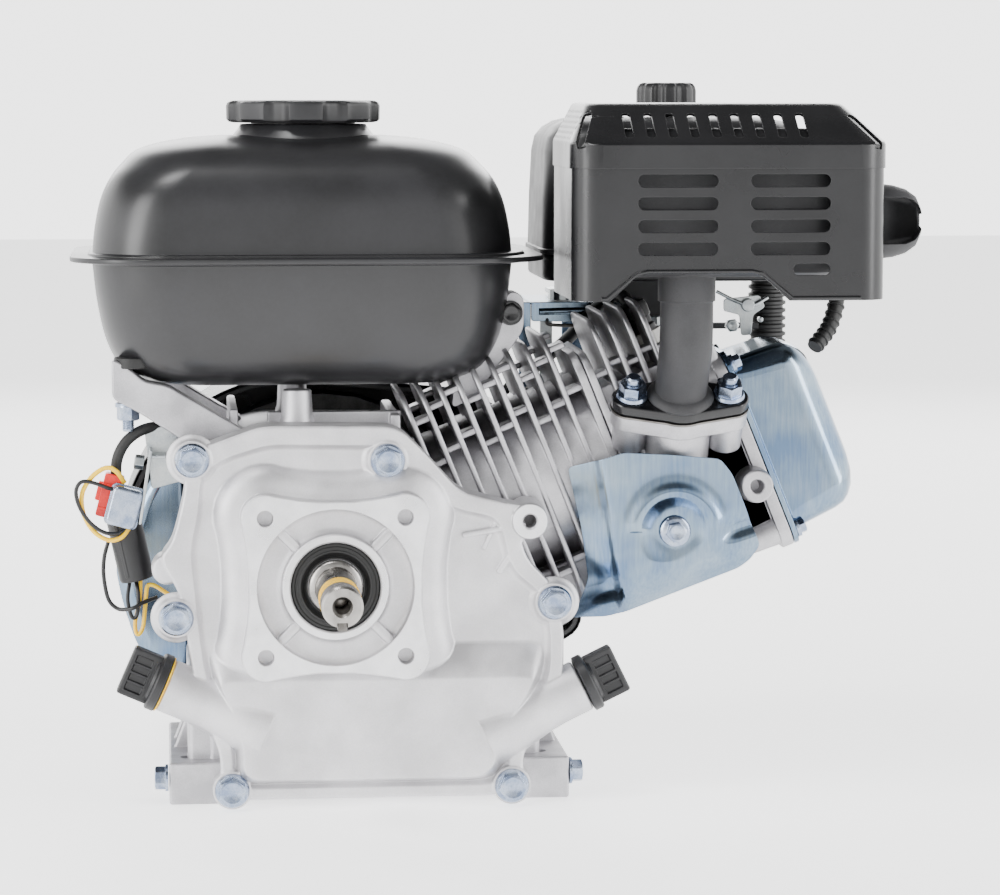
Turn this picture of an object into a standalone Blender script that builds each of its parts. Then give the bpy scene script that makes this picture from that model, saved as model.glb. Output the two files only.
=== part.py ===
"""A single-cylinder overhead-valve petrol engine with a horizontal output shaft, as separate working pieces.

X runs from the tank side to the cylinder head, Y from the output shaft to the recoil starter, and Z up.
The origin is on the base plane, straight below the crankshaft, level with the middle of the cylinder bore.
Every length below is in millimetres, and MM turns it into metres.
"""

import math

import bmesh
import bpy
from mathutils import Matrix, Vector

for item in list(bpy.data.objects):
    bpy.data.objects.remove(item, do_unlink=True)

MM = 0.001
GAP = 0.3

# Driving dimensions.
CRANK_Z = 106.0
INCLINE = math.radians(22.0)
BORE_R = 34.0
STROKE = 54.0
ROD_LENGTH = 96.0
CROWN_HEIGHT = 24.0
DECK = STROKE / 2 + ROD_LENGTH + CROWN_HEIGHT + 1.0
FIN = 2.6
FIN_PITCH = 9.0
HEAD_TOP = 212.0
COVER_TOP = 254.0
PTO_FACE = -78.0
COVER_FACE = -66.0
JOINT = -45.0
REAR_WALL = 50.0
BOLT_PATTERN = 32.56
SHAFT_R = 9.525
SHAFT_TIP = -139.0
JOURNAL_R = 12.5
BEARING_R = 26.0
BEARING_WIDTH = 15.0
WEB_R = 40.0
PIN_R = 12.0
CAM_DROP = 57.0
CAM_Z = CRANK_Z - CAM_DROP
CRANK_TEETH = 12
CAM_TEETH = 2 * CRANK_TEETH
MODULE = 2 * CAM_DROP / (CRANK_TEETH + CAM_TEETH)
LOBE_SWEEP = 15.5
VALVE_OFFSET = 16.5
VALVE_V = -4.0
PUSHROD_V = -CAM_DROP * math.cos(INCLINE)
ROCKER_V = (VALVE_V + PUSHROD_V) / 2
ROCKER_U = 207.0
STEM_TOP = 203.0
FOOT_HEIGHT = 20.0
FOOT_SPACING_X = 162.0
FOOT_SPACING_Y = 75.5
LEFT_FOOT_X = -66.0
RIGHT_FOOT_X = LEFT_FOOT_X + FOOT_SPACING_X
TANK_X = -10.4
TANK_Y = 10.0
SEAM_Z = 256.0
CAP_Y = 15.0
COVER_BOLTS = ((-66, 165), (25, 164), (103.5, 96), (83.3, 9), (-48.6, 9), (-74, 91))
LUG = (91.8, 134.7)
MUFFLER_Y = -56.0
OUTLET = (-60.0, 274.5)
AIR_CLEANER = (172.0, 50.0)
CARB_X = 169.0
CARB_Z = 195.0
FLYWHEEL_R = 78.0
BLOWER_FRONT = 62.0
BLOWER_BACK = 132.0
RECOIL_R = 70.0
RECOIL_BACK = 181.0


# Frames. Local z is the axis that a shape is turned about or extruded along.
def frame_of(origin, x_axis, z_axis):
    """A frame at a point in millimetres, from two axes at right angles."""
    x = Vector(x_axis).normalized()
    z = Vector(z_axis).normalized()
    y = z.cross(x)
    matrix = Matrix((x, y, z)).transposed().to_4x4()
    matrix.translation = Vector(origin)
    return matrix


U = Vector((math.cos(INCLINE), 0, math.sin(INCLINE)))
V = Vector((-math.sin(INCLINE), 0, math.cos(INCLINE)))
CRANK = Vector((0, 0, CRANK_Z))
CYLINDER = frame_of(CRANK, V, U)
FRONT = frame_of((0, 0, 0), (1, 0, 0), (0, -1, 0))
UP = Matrix.Identity(4)


def shaft_frame(x, z):
    """Local z runs forward, out of the output side, along an axis at this X and Z."""
    return frame_of((x, 0, z), (1, 0, 0), (0, -1, 0))


def upright(x, y):
    return Matrix.Translation((x, y, 0))


def aimed(origin, direction):
    """Local z runs from a point along a direction."""
    z = Vector(direction).normalized()
    side = Vector((0, 1, 0)) if abs(z.y) < 0.9 else Vector((1, 0, 0))
    return frame_of(origin, side.cross(z), z)


def cylinder_point(u, v, y):
    """The place at u along the bore, v across it and y back, in millimetres."""
    return CRANK + U * u + V * v + Vector((0, y, 0))


HEAD_LUG = cylinder_point(203.5, -37, 0).xz
DEFLECTOR_BOLT = cylinder_point(158.3, -40.2, 0).xz


# Mesh building.
def finish(bm, name, frame):
    bmesh.ops.remove_doubles(bm, verts=bm.verts, dist=1e-4)
    bmesh.ops.recalc_face_normals(bm, faces=bm.faces)
    bmesh.ops.transform(bm, matrix=Matrix.Scale(MM, 4) @ frame, verts=bm.verts)
    mesh = bpy.data.meshes.new(name)
    bm.to_mesh(mesh)
    bm.free()
    made = bpy.data.objects.new(name, mesh)
    bpy.context.scene.collection.objects.link(made)
    return made


def prism(outline, low, high, frame=FRONT, name="tool"):
    """An outline of (x, y) pairs in a frame, extruded along the frame's z from low to high."""
    bm = bmesh.new()
    face = bm.faces.new([bm.verts.new((x, y, low)) for x, y in outline])
    made = bmesh.ops.extrude_face_region(bm, geom=[face])
    raised = [item for item in made["geom"] if isinstance(item, bmesh.types.BMVert)]
    bmesh.ops.translate(bm, verts=raised, vec=(0, 0, high - low))
    return finish(bm, name, frame)


def plate(outline, front, back, name="tool"):
    """An outline of (X, Z) pairs, extruded from the front Y to the back Y."""
    return prism(outline, -back, -front, FRONT, name)


def box(low, high, name="tool"):
    bm = bmesh.new()
    bmesh.ops.create_cube(bm, size=1.0)
    size = Vector(high) - Vector(low)
    middle = (Vector(high) + Vector(low)) / 2
    frame = Matrix.Translation(middle) @ Matrix.Diagonal((*size, 1.0))
    return finish(bm, name, frame)


def block(low, high, frame, name="tool"):
    """A box given by its low and high corners in a frame."""
    corners = [(low[0], low[1]), (high[0], low[1]), (high[0], high[1]), (low[0], high[1])]
    return prism(corners, low[2], high[2], frame, name)


def turned(profile, frame, steps=24, name="tool", closed=False):
    """A profile of (radius, z) pairs, turned about the frame's z."""
    bm = bmesh.new()
    verts = [bm.verts.new((radius, 0, z)) for radius, z in profile]
    pairs = list(zip(verts, verts[1:]))
    if closed:
        pairs.append((verts[-1], verts[0]))
    edges = [bm.edges.new(pair) for pair in pairs]
    bmesh.ops.spin(bm, geom=verts + edges, cent=(0, 0, 0), axis=(0, 0, 1), dvec=(0, 0, 0),
                   angle=math.tau, steps=steps, use_merge=True, use_duplicate=False)
    return finish(bm, name, frame)


def cylinder(radius, low, high, frame, steps=24, name="tool"):
    return turned([(0, low), (radius, low), (radius, high), (0, high)], frame, steps, name)


def ring(outer, inner, low, high, frame, steps=24, name="tool"):
    corners = [(inner, low), (outer, low), (outer, high), (inner, high)]
    return turned(corners, frame, steps, name, closed=True)


def loft(levels, frame=UP, name="tool"):
    """Closed outlines with the same number of points, each at its own height, joined and capped."""
    bm = bmesh.new()
    rings = [[bm.verts.new((x, y, z)) for x, y in outline] for z, outline in levels]
    count = len(rings[0])
    for lower, upper in zip(rings, rings[1:]):
        for i in range(count):
            j = (i + 1) % count
            bm.faces.new((lower[i], lower[j], upper[j], upper[i]))
    bm.faces.new(rings[0])
    bm.faces.new(rings[-1])
    return finish(bm, name, frame)


def arc(centre, radius, start, end, steps):
    """Points along an arc, with its angles in degrees."""
    angles = [math.radians(start + (end - start) * i / steps) for i in range(steps + 1)]
    return [(centre[0] + radius * math.cos(a), centre[1] + radius * math.sin(a)) for a in angles]


def rounded(centre, half_x, half_y, radius, steps=4):
    """A rectangle with round corners."""
    points = []
    for quarter, (sx, sy) in enumerate(((1, 1), (-1, 1), (-1, -1), (1, -1))):
        corner = (centre[0] + sx * (half_x - radius), centre[1] + sy * (half_y - radius))
        points += arc(corner, radius, 90 * quarter, 90 * quarter + 90, steps)
    return points


def offset(outline, distance):
    """The outline moved outwards by a distance, with its corners kept sharp."""
    count = len(outline)
    area = sum(outline[i - 1][0] * outline[i][1] - outline[i][0] * outline[i - 1][1] for i in range(count))
    turn = 1 if area > 0 else -1
    moved = []
    for i in range(count):
        before, here, after = (Vector(outline[(i + k) % count]) for k in (-1, 0, 1))
        first = (here - before).normalized()
        second = (after - here).normalized()
        normal_1 = Vector((first.y, -first.x)) * turn
        normal_2 = Vector((second.y, -second.x)) * turn
        mean = normal_1 + normal_2
        moved.append(tuple(here + mean * (distance / max(1 + normal_1.dot(normal_2), 0.2))))
    return moved


def tube(points, radius, name="tool", resolution=2):
    """A round rod that follows points given in millimetres."""
    curve = bpy.data.curves.new(name, "CURVE")
    curve.dimensions = "3D"
    curve.bevel_depth = radius * MM
    curve.bevel_resolution = resolution
    curve.use_fill_caps = True
    spline = curve.splines.new("POLY")
    spline.points.add(len(points) - 1)
    for point, place in zip(spline.points, points):
        point.co = (*(Vector(place) * MM), 1.0)
    guide = bpy.data.objects.new(name, curve)
    bpy.context.scene.collection.objects.link(guide)
    graph = bpy.context.evaluated_depsgraph_get()
    bm = bmesh.new()
    bm.from_mesh(guide.evaluated_get(graph).to_mesh())
    bpy.data.objects.remove(guide, do_unlink=True)
    bmesh.ops.scale(bm, vec=(1 / MM,) * 3, verts=bm.verts)
    return finish(bm, name, UP)


def smooth_route(points, steps=6):
    """A Catmull-Rom curve through the points."""
    places = [Vector(p) for p in points]
    places = [places[0] * 2 - places[1], *places, places[-1] * 2 - places[-2]]
    route = []
    for a, b, c, d in zip(places, places[1:], places[2:], places[3:]):
        for i in range(steps):
            t = i / steps
            route.append(0.5 * (2 * b + (c - a) * t + (2 * a - 5 * b + 4 * c - d) * t * t
                                + (3 * b - a - 3 * c + d) * t ** 3))
    route.append(places[-2])
    return route


# The exact solver leaves open edges on these, where many tilted faces nearly meet.
CLOSE_FACED = ("crankcase", "side_cover", "cylinder_head", "exhaust_outlet", "recoil_cover")


def combine(target, tools, operation):
    """Applies one Boolean for each tool, then removes the tools."""
    for tool in tools:
        modifier = target.modifiers.new(operation, "BOOLEAN")
        modifier.operation = operation
        modifier.solver = "MANIFOLD" if target.name in CLOSE_FACED else "EXACT"
        modifier.object = tool
    graph = bpy.context.evaluated_depsgraph_get()
    mesh = bpy.data.meshes.new_from_object(target.evaluated_get(graph))
    target.modifiers.clear()
    target.data = mesh
    mesh.name = target.name
    for tool in tools:
        bpy.data.objects.remove(tool, do_unlink=True)
    return target


def join(target, *tools):
    return combine(target, tools, "UNION")


def cut(target, *tools):
    return combine(target, tools, "DIFFERENCE")


def set_origin(made, point):
    """Puts the object's origin on its joint's axis, with the shape left where it is."""
    place = Vector(point) * MM
    made.data.transform(Matrix.Translation(-place))
    made.location = place


def named(made, name):
    made.name = name
    made.data.name = name
    return made


def gear_outline(teeth, module, phase=0.0):
    """A simple gear with straight-sided teeth."""
    pitch = teeth * module / 2
    points = []
    for tooth in range(teeth):
        for share, radius in ((-0.26, -0.9), (-0.12, 0.65), (0.12, 0.65), (0.26, -0.9)):
            angle = math.tau * (tooth + share + phase) / teeth
            reach = pitch + radius * module
            points.append((reach * math.cos(angle), reach * math.sin(angle)))
    return points


# The crankcase, its cover and what they hold.
def case_outline():
    return [(-60, 0), (84, 0), (88, 22), (100, 44), (104, 70), (104, 88), (96, 104), (86, 116),
            (84, 142), (58, 148), (44, 164), (31, 177), (-30, 178), (-52, 173), (-72, 166),
            (-68, 140), (-70, 104), (-66, 60), (-58, 30)]


def cover_outline():
    return [(-54, 4), (78, 4), (90, 9), (88, 24), (99, 36), (108, 62), (108, 84), (103, 104), (90, 117),
            (84, 143), (59, 149), (45, 165), (30, 180), (-33, 181), (-56, 173), (-72, 166), (-69, 154),
            (-73, 136), (-76, 126), (-82, 119), (-72, 102), (-69, 80), (-66, 62), (-58, 36), (-54, 26)]


def make_crankcase():
    case = plate(case_outline(), JOINT, REAR_WALL, "crankcase")
    barrel = cylinder(BORE_R + 8, 40, DECK - 1, CYLINDER, 24)
    tunnel = block((PUSHROD_V - 9, -27, 41), (PUSHROD_V + 14, 27, DECK - 1.5), CYLINDER)
    deck = prism(rounded((-3, 0), 58, 43, 14, 2), DECK - 4, DECK, CYLINDER)
    fins = [prism(rounded((4, 0), 64, 43.5, 16, 1), start, start + FIN, CYLINDER)
            for start in (62 + FIN_PITCH * number for number in range(9))]
    join(case, barrel, tunnel, deck, *fins)
    feet = [box((LEFT_FOOT_X - 12, -54, 0), (LEFT_FOOT_X + 13, 54, FOOT_HEIGHT)),
            box((RIGHT_FOOT_X - 10, -54, 0), (RIGHT_FOOT_X + 16, 54, FOOT_HEIGHT)),
            box((-70, -22, 10), (-50, 22, 45)),
            box((84, -22, 10), (100, 22, 45))]
    join(case, *feet)
    arm = [(-103, 211), (-97, 208), (-88, 200), (-77, 198), (-40, 176), (-58, 160), (-70, 172), (-90, 185),
           (-103, 192)]
    arms = [plate(arm, front, front + 14) for front in (JOINT + 1, 22)]
    posts = [cylinder(7, 165, 195, upright(-16, y), 12) for y in (-33, 30)]
    join(case, *arms, *posts)
    rear_boss = cylinder(BEARING_R + 7, -60, -REAR_WALL + 1, shaft_frame(0, CRANK_Z), 24)
    join(case, rear_boss)
    tank = tank_solid(0.8, "tool")
    inside = plate(offset(case_outline(), -5.5), JOINT - 1, REAR_WALL - 12)
    bore = cylinder(BORE_R, 30, DECK + 1, CYLINDER, 28)
    rods = [cylinder(5, 20, DECK + 1, frame_at(side), 8) for side in (-1, 1)]
    seat = cylinder(BEARING_R + GAP, -(REAR_WALL + 4), 0, shaft_frame(0, CRANK_Z), 24)
    nose = cylinder(15, -62, 0, shaft_frame(0, CRANK_Z), 16)
    cam_seat = cylinder(8.3, -(REAR_WALL - 5), 0, shaft_frame(0, CAM_Z), 12)
    beside = plate(offset(cover_outline(), 0.8), -70, JOINT)
    bosses = [cylinder(10.5, -JOINT, 70, shaft_frame(x, z), 12) for x, z in COVER_BOLTS]
    cut(case, tank, inside, bore, *rods, seat, nose, cam_seat, beside, *bosses)
    slots = []
    for x in (LEFT_FOOT_X, RIGHT_FOOT_X):
        for y in (-FOOT_SPACING_Y / 2, FOOT_SPACING_Y / 2):
            slots.append(prism(rounded((x, y), 6.5, 4.3, 4.2, 2), -1, FOOT_HEIGHT + 1, UP))
    cut(case, *slots)
    return case


def frame_at(side):
    """The pushrod's axis on one side: +1 is the exhaust, in front, and -1 the intake."""
    return CYLINDER @ Matrix.Translation((PUSHROD_V, side * VALVE_OFFSET, 0))


def make_side_cover():
    cover = plate(cover_outline(), COVER_FACE, JOINT - GAP, "side_cover")
    bosses = [cylinder(9.5, 46, 66.8, shaft_frame(x, z), 14) for x, z in COVER_BOLTS]
    lug = cylinder(8.5, 46.5, 67.4, shaft_frame(*LUG), 14)
    pad = plate(flange_outline(), PTO_FACE, COVER_FACE + 2)
    small_lug = cylinder(7, 47, 60, shaft_frame(-78, 113), 12)
    join(cover, *bosses, lug, pad, small_lug)
    necks = [cylinder(12.6, 0, NECK_LENGTH, aimed(start, way), 18) for start, way in NECKS]
    join(cover, *necks)
    inside = plate(offset(cover_outline(), -8.5), COVER_FACE + 6, JOINT + 1)
    cut(cover, inside)
    housing = cylinder(BEARING_R + 6, 46.2, 70, shaft_frame(0, CRANK_Z), 24)
    cam_boss = cylinder(13, 49, 64, shaft_frame(0, CAM_Z), 14)
    join(cover, housing, cam_boss)
    recess = cylinder(36.5, 75, 80, shaft_frame(0, CRANK_Z), 32)
    boss = cylinder(25, 70, 77, shaft_frame(0, CRANK_Z), 24)
    cut(cover, recess)
    join(cover, boss)
    bearing = cylinder(BEARING_R + GAP, 40, 62, shaft_frame(0, CRANK_Z), 24)
    seal = cylinder(20.9, 50, 80, shaft_frame(0, CRANK_Z), 24)
    cam_hole = cylinder(8.3, 40, 60, shaft_frame(0, CAM_Z), 12)
    throats = [cylinder(9.5, -20, 70, aimed(start, way), 12) for start, way in NECKS]
    holes = [cylinder(3.7, 60, 80, shaft_frame(x, CRANK_Z + z), 8)
             for x in (-BOLT_PATTERN, BOLT_PATTERN) for z in (-BOLT_PATTERN, BOLT_PATTERN)]
    bolts = [cylinder(4.5, 40, 70, shaft_frame(x, z), 8) for x, z in COVER_BOLTS]
    lug_hole = cylinder(3.2, 52, 70, shaft_frame(*LUG), 8)
    cut(cover, bearing, seal, cam_hole, *throats, *holes, *bolts, lug_hole)
    return cover


NECK_LENGTH = 38.0
NECK_Y = -58.2
NECK_ENDS = (((-79.5, NECK_Y, 58.5), (-0.915, 0, 0.403)), ((117.5, NECK_Y, 55), (0.9, 0, 0.438)))
NECKS = [(tuple(Vector(end) - Vector(way).normalized() * NECK_LENGTH), way) for end, way in NECK_ENDS]


def flange_outline():
    """The mounting pad: four round lobes about the bolt holes, with a waist on each side."""
    lobe = BOLT_PATTERN
    points = []
    for quarter in range(4):
        turn = math.radians(90 * quarter)
        cos, sin = round(math.cos(turn)), round(math.sin(turn))
        stretch = arc((lobe, lobe), 11.5, -25, 115, 5) + [(14, 40.7), (-14, 40.7)]
        points += [(x * cos - y * sin, CRANK_Z + x * sin + y * cos) for x, y in stretch]
    return points


def make_seal_and_bearings():
    axis = shaft_frame(0, CRANK_Z)
    named(turned([(12.9, 69), (20.6, 69), (20.6, 75.5), (17, 75.5), (15, 74), (12.9, 74)], axis, 24,
                 closed=True),
          "oil_seal")
    inner = JOURNAL_R + GAP
    front = 61.7
    named(ring(BEARING_R, inner, front - BEARING_WIDTH, front, axis, 24), "pto_bearing")
    back = -(REAR_WALL + 3.7)
    named(ring(BEARING_R, inner, back, back + BEARING_WIDTH, axis, 24), "rear_bearing")


def make_cover_bolts():
    for number, (x, z) in enumerate(COVER_BOLTS, 1):
        axis = shaft_frame(x, z)
        bolt = turned([(0, 46), (4, 46), (4, 67.1), (8.2, 67.1), (8.2, 68.4), (6, 69.2), (0, 69.2)], axis,
                      12)
        head = prism(arc((0, 0), 6.9, 0, 300, 5), 68.5, 74, axis)
        named(join(bolt, head), f"cover_bolt_{number}")


def make_drain_plugs():
    for side, x, name in ((-1, LEFT_FOOT_X - 12, "drain_plug_left"),
                          (1, RIGHT_FOOT_X + 16, "drain_plug_right")):
        axis = aimed((x, -48, 12), (side, 0, 0))
        plug = turned([(0, GAP), (6.5, GAP), (6.5, 2), (4.6, 2.4), (0, 2.4)], axis, 16)
        named(join(plug, prism(arc((0, 0), 5.6, 0, 300, 5), 2, 7, axis)), name)


def make_dipsticks():
    for (end, way), name in zip(NECK_ENDS, ("dipstick_left", "dipstick_right")):
        axis = aimed(end, way)
        stick = turned([(0, -52), (2, -52), (2, -12), (8.8, -10), (8.8, GAP), (14, GAP), (14, 5.5),
                        (10, 6.5),
                        (0, 6.5)], axis, 16)
        grip = block((-12, -4, 5), (12, 4, 20), axis)
        named(join(stick, grip), name)
        set_origin(bpy.data.objects[name], end)


# The rotating and sliding pieces.
def web_outline():
    """A crank web: the round end about the crankpin, and the counterweight opposite."""
    return arc((STROKE / 2, 0), 13, -75, 75, 6) + arc((0, 0), WEB_R, 115, 245, 8)


def make_crankshaft():
    axis = shaft_frame(0, CRANK_Z)
    web = rotated(web_outline(), INCLINE)
    front = turned([(0, 20), (JOURNAL_R, 20), (JOURNAL_R, 78), (SHAFT_R, 78.5), (SHAFT_R, -SHAFT_TIP - 1),
                    (SHAFT_R - 1, -SHAFT_TIP), (0, -SHAFT_TIP)], axis, 24, "crankshaft_front")
    gear = prism(gear_outline(CRANK_TEETH, MODULE, -CRANK_TEETH / 4), 33, 41, axis)
    join(front, prism(web, 12.3, 24.3, axis), gear)
    keyway = block((-2.4, -12, 96), (2.4, -SHAFT_R + 2.4, 150), axis)
    tapped = turned([(0, 110), (3.4, 112), (3.4, 137.4), (5.2, 140), (0, 140)], axis, 16)
    cut(front, keyway, tapped)
    key = block((-2.1, -SHAFT_R - 1.6, 97), (2.1, -SHAFT_R + 2.1, 137.5), axis, "shaft_key")
    rear = turned([(0, -20), (JOURNAL_R, -20), (JOURNAL_R, -60), (11, -66), (8, -103.5), (6, -104),
                   (6, -117),
                   (0, -118)], axis, 20, "crankshaft_rear")
    join(rear, prism(web, -24.3, -12.3, axis))
    for piece in (front, key, rear):
        set_origin(piece, CRANK)


def rotated(outline, angle):
    cos, sin = math.cos(angle), math.sin(angle)
    return [(x * cos - y * sin, x * sin + y * cos) for x, y in outline]


def make_piston_group():
    pin_u = STROKE / 2
    wrist_u = pin_u + ROD_LENGTH
    across = shaft_frame(*cylinder_point(pin_u, 0, 0).xz)
    wrist = shaft_frame(*cylinder_point(wrist_u, 0, 0).xz)
    crankpin = cylinder(PIN_R - 0.2, -12, 12, across, 20, "crankpin")
    rod = ring(PIN_R + 7.5, PIN_R - 1, -10.5, 10.5, across, 20, "connecting_rod")
    shank = block((-7, -4, pin_u + PIN_R + 4), (7, 4, wrist_u - 11), CYLINDER)
    small_end = cylinder(12.5, -9, 9, wrist, 24)
    ears = block((-24, -8, pin_u - 7), (24, 8, pin_u + 7), CYLINDER)
    join(rod, shank, small_end, ears)
    cut(rod, cylinder(9.3, -20, 20, wrist, 16), cylinder(PIN_R + 0.1, -20, 20, across, 20))
    crown = wrist_u + CROWN_HEIGHT
    skirt = wrist_u - 20
    radius = BORE_R - GAP
    profile = [(0, crown), (radius, crown), (radius, skirt), (radius - 4, skirt), (radius - 4, crown - 8),
               (0, crown - 8)]
    piston = turned(profile, CYLINDER, 28, "piston")
    lugs = [cylinder(12, low, low + 18, wrist, 16) for low in (-30, 12)]
    join(piston, *lugs)
    cut(piston, cylinder(9.3, -40, 40, wrist, 16))
    pin = ring(9, 5, -26, 26, wrist, 16, "wrist_pin")
    for piece in (crankpin, rod, piston, pin):
        set_origin(piece, cylinder_point(pin_u, 0, 0))


def lobe_outline(direction):
    """A cam lobe whose nose points in a direction, given in degrees."""
    base = arc((0, 0), 11, direction + 70, direction + 290, 10)
    return base + arc((9 * math.cos(math.radians(direction)), 9 * math.sin(math.radians(direction))),
                      LOBE_SWEEP - 9, direction - 50, direction + 50, 4)


def make_camshaft():
    axis = shaft_frame(0, CAM_Z)
    shaft = turned([(0, -44), (8, -44), (8, 59), (0, 59)], axis, 14, "camshaft")
    gear = prism(gear_outline(CAM_TEETH, MODULE, 0.5 - CAM_TEETH / 4), 34, 40, axis)
    lobes = [prism(lobe_outline(aim), place - 4, place + 4, axis)
             for aim, place in ((200, VALVE_OFFSET), (310, -VALVE_OFFSET))]
    join(shaft, gear, *lobes)
    set_origin(shaft, (0, 0, CAM_Z))


def make_valve_train():
    for name, side in (("exhaust", 1), ("intake", -1)):
        stem = CYLINDER @ Matrix.Translation((VALVE_V, side * VALVE_OFFSET, 0))
        valve = turned([(0, 157.5), (12.4, 157.5), (12.4, 159.5), (2.7, 168), (2.7, 197), (9, 198),
                        (9, 200.5),
                        (2.7, 201), (2.7, STEM_TOP), (0, STEM_TOP)], stem, 14, f"{name}_valve")
        set_origin(valve, cylinder_point(157.5, VALVE_V, -side * VALVE_OFFSET))
        low = -21.4 + LOBE_SWEEP + 0.5
        rod = turned([(0, low), (7, low), (7, low + 3), (3, low + 5), (3, STEM_TOP), (0, STEM_TOP)],
                     frame_at(side), 12, f"{name}_pushrod")
        set_origin(rod, cylinder_point(low, PUSHROD_V, -side * VALVE_OFFSET))
        pivot = shaft_frame(*cylinder_point(ROCKER_U, ROCKER_V, 0).xz)
        middle = side * VALVE_OFFSET
        rocker = block((PUSHROD_V - 5, middle - 6, STEM_TOP + 2.5), (VALVE_V + 5, middle + 6, 210),
                       CYLINDER,
                       f"{name}_rocker")
        noses = [block((v - 2, middle - 3, STEM_TOP + 0.6), (v + 2, middle + 3, 207), CYLINDER)
                 for v in (PUSHROD_V, VALVE_V)]
        hub = cylinder(8, middle - 6.2, middle + 6.2, pivot, 12)
        join(rocker, *noses, hub)
        cut(rocker, cylinder(5.3, 190, 220, CYLINDER @ Matrix.Translation((ROCKER_V, middle, 0)), 12))
        set_origin(rocker, cylinder_point(ROCKER_U, ROCKER_V, -middle))


# The cylinder head and what bolts to it.
def make_cylinder_head():
    base = DECK + GAP
    head = block((-62, -36, base), (36, 36, HEAD_TOP), CYLINDER, "cylinder_head")
    starts = [base + 9.7 + 8 * number for number in range(4)]
    fins = [prism(rounded((4, 0), 62, 44, 14, 1), start, start + FIN, CYLINDER) for start in starts]
    flange = prism(rounded((-23, 0), 50, 39, 10, 3), HEAD_TOP - 6, HEAD_TOP + 0.02, CYLINDER)
    rocker_box = prism(rounded((-23, 0), 47, 35, 9, 2), 184.5, HEAD_TOP - 0.5, CYLINDER)
    bottom = prism(rounded((-4, 0), 57, 45, 14, 2), base - 0.02, base + 4, CYLINDER)
    lug = cylinder(8, 20, 50, shaft_frame(*HEAD_LUG), 20)
    bolt_boss = cylinder(7, 30, 57.5, shaft_frame(*DEFLECTOR_BOLT), 16)
    port = [cylinder(15, -30, -1.2, port_frame(), 16), prism(port_outline(), -7, -1, port_frame())]
    inlet = cylinder(16, -44.2, -20, shaft_frame(CARB_X, CARB_Z), 16)
    plug_boss = cylinder(11, 0, 36, plug_frame(), 12)
    join(head, *fins, flange, rocker_box, bottom, lug, bolt_boss, inlet)
    cut(head, cylinder(13, 34, 80, plug_frame(), 16), prism(port_outline(2), -1, 60, port_frame()))
    join(head, *port, plug_boss)
    chamber = turned([(0, base - 1), (31, base - 1), (31, base + 4), (27, 157), (0, 157)], CYLINDER, 24)
    bowls = [cylinder(13.2, 150, 175, CYLINDER @ Matrix.Translation((VALVE_V, side * VALVE_OFFSET, 0)), 14)
             for side in (-1, 1)]
    guides = [cylinder(3.2, 150, 195, CYLINDER @ Matrix.Translation((VALVE_V, side * VALVE_OFFSET, 0)), 8)
              for side in (-1, 1)]
    rods = [cylinder(5, 140, 195, frame_at(side), 8) for side in (-1, 1)]
    rocker_room = prism(rounded((-25, 0), 41, 30, 8, 1), 188, HEAD_TOP + 1, CYLINDER)
    cut(head, chamber, *bowls, *guides, *rods, rocker_room)
    exhaust_way = cylinder(10, -30, 2, port_frame(), 12)
    inlet_way = cylinder(9, -50, -10, shaft_frame(CARB_X, CARB_Z), 12)
    plug_hole = cylinder(7.4, 8.5, 60, plug_frame(), 12)
    lug_hole = cylinder(3.2, 10, 60, shaft_frame(*HEAD_LUG), 8)
    bolt_hole = cylinder(3.4, 45, 60, shaft_frame(*DEFLECTOR_BOLT), 8)
    cut(head, exhaust_way, inlet_way, plug_hole, lug_hole, bolt_hole)
    studs = [cylinder(3.4, 180, 216, CYLINDER @ Matrix.Translation((ROCKER_V, side * VALVE_OFFSET, 0)), 8)
             for side in (-1, 1)]
    join(head, *studs)
    return head


def port_frame():
    """The exhaust flange's frame: its face looks up and forward."""
    return frame_of((164.5, -52, 187), (1, 0, 0), (0, -0.5, 0.866))


def port_outline(grow=0.0):
    """An oval about two studs 46 mm apart."""
    half = 23.0
    end = 10 + grow
    middle = 16 + grow
    return (arc((half, 0), end, -70, 70, 5) + arc((0, 0), middle, 60, 120, 3)
            + arc((-half, 0), end, 110, 250, 5) + arc((0, 0), middle, 240, 300, 3))


def plug_frame():
    return aimed(cylinder_point(184, 4, -4), V)


def make_rocker_cover():
    levels = [(HEAD_TOP + GAP, 50, 39, 10), (HEAD_TOP + 3, 50, 39, 10), (HEAD_TOP + 3.1, 45, 34, 10),
              (COVER_TOP - 12, 43, 32, 12), (COVER_TOP - 4, 37, 27, 12), (COVER_TOP, 28, 19, 10)]
    cover = loft([(u, rounded((-23, 0), x, y, r, 4)) for u, x, y, r in levels], CYLINDER, "rocker_cover")
    room = [(HEAD_TOP - 1, 43, 32, 9), (COVER_TOP - 13, 41, 30, 10), (COVER_TOP - 5, 34, 24, 10)]
    cut(cover, loft([(u, rounded((-23, 0), x, y, r, 4)) for u, x, y, r in room], CYLINDER))
    return cover


def make_spark_plug():
    axis = plug_frame()
    named(turned([(0, 9), (6.9, 12), (6.9, 36.4), (9.6, 36.6), (9.6, 43), (6, 44), (4.5, 50), (0, 50)],
                 axis, 12),
          "spark_plug")
    cap = turned([(0, 59), (7, 58), (7.5, 45), (6.3, 45), (6.3, 50.5), (0, 50.5)], axis, 12,
                 "spark_plug_cap")
    return cap


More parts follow.
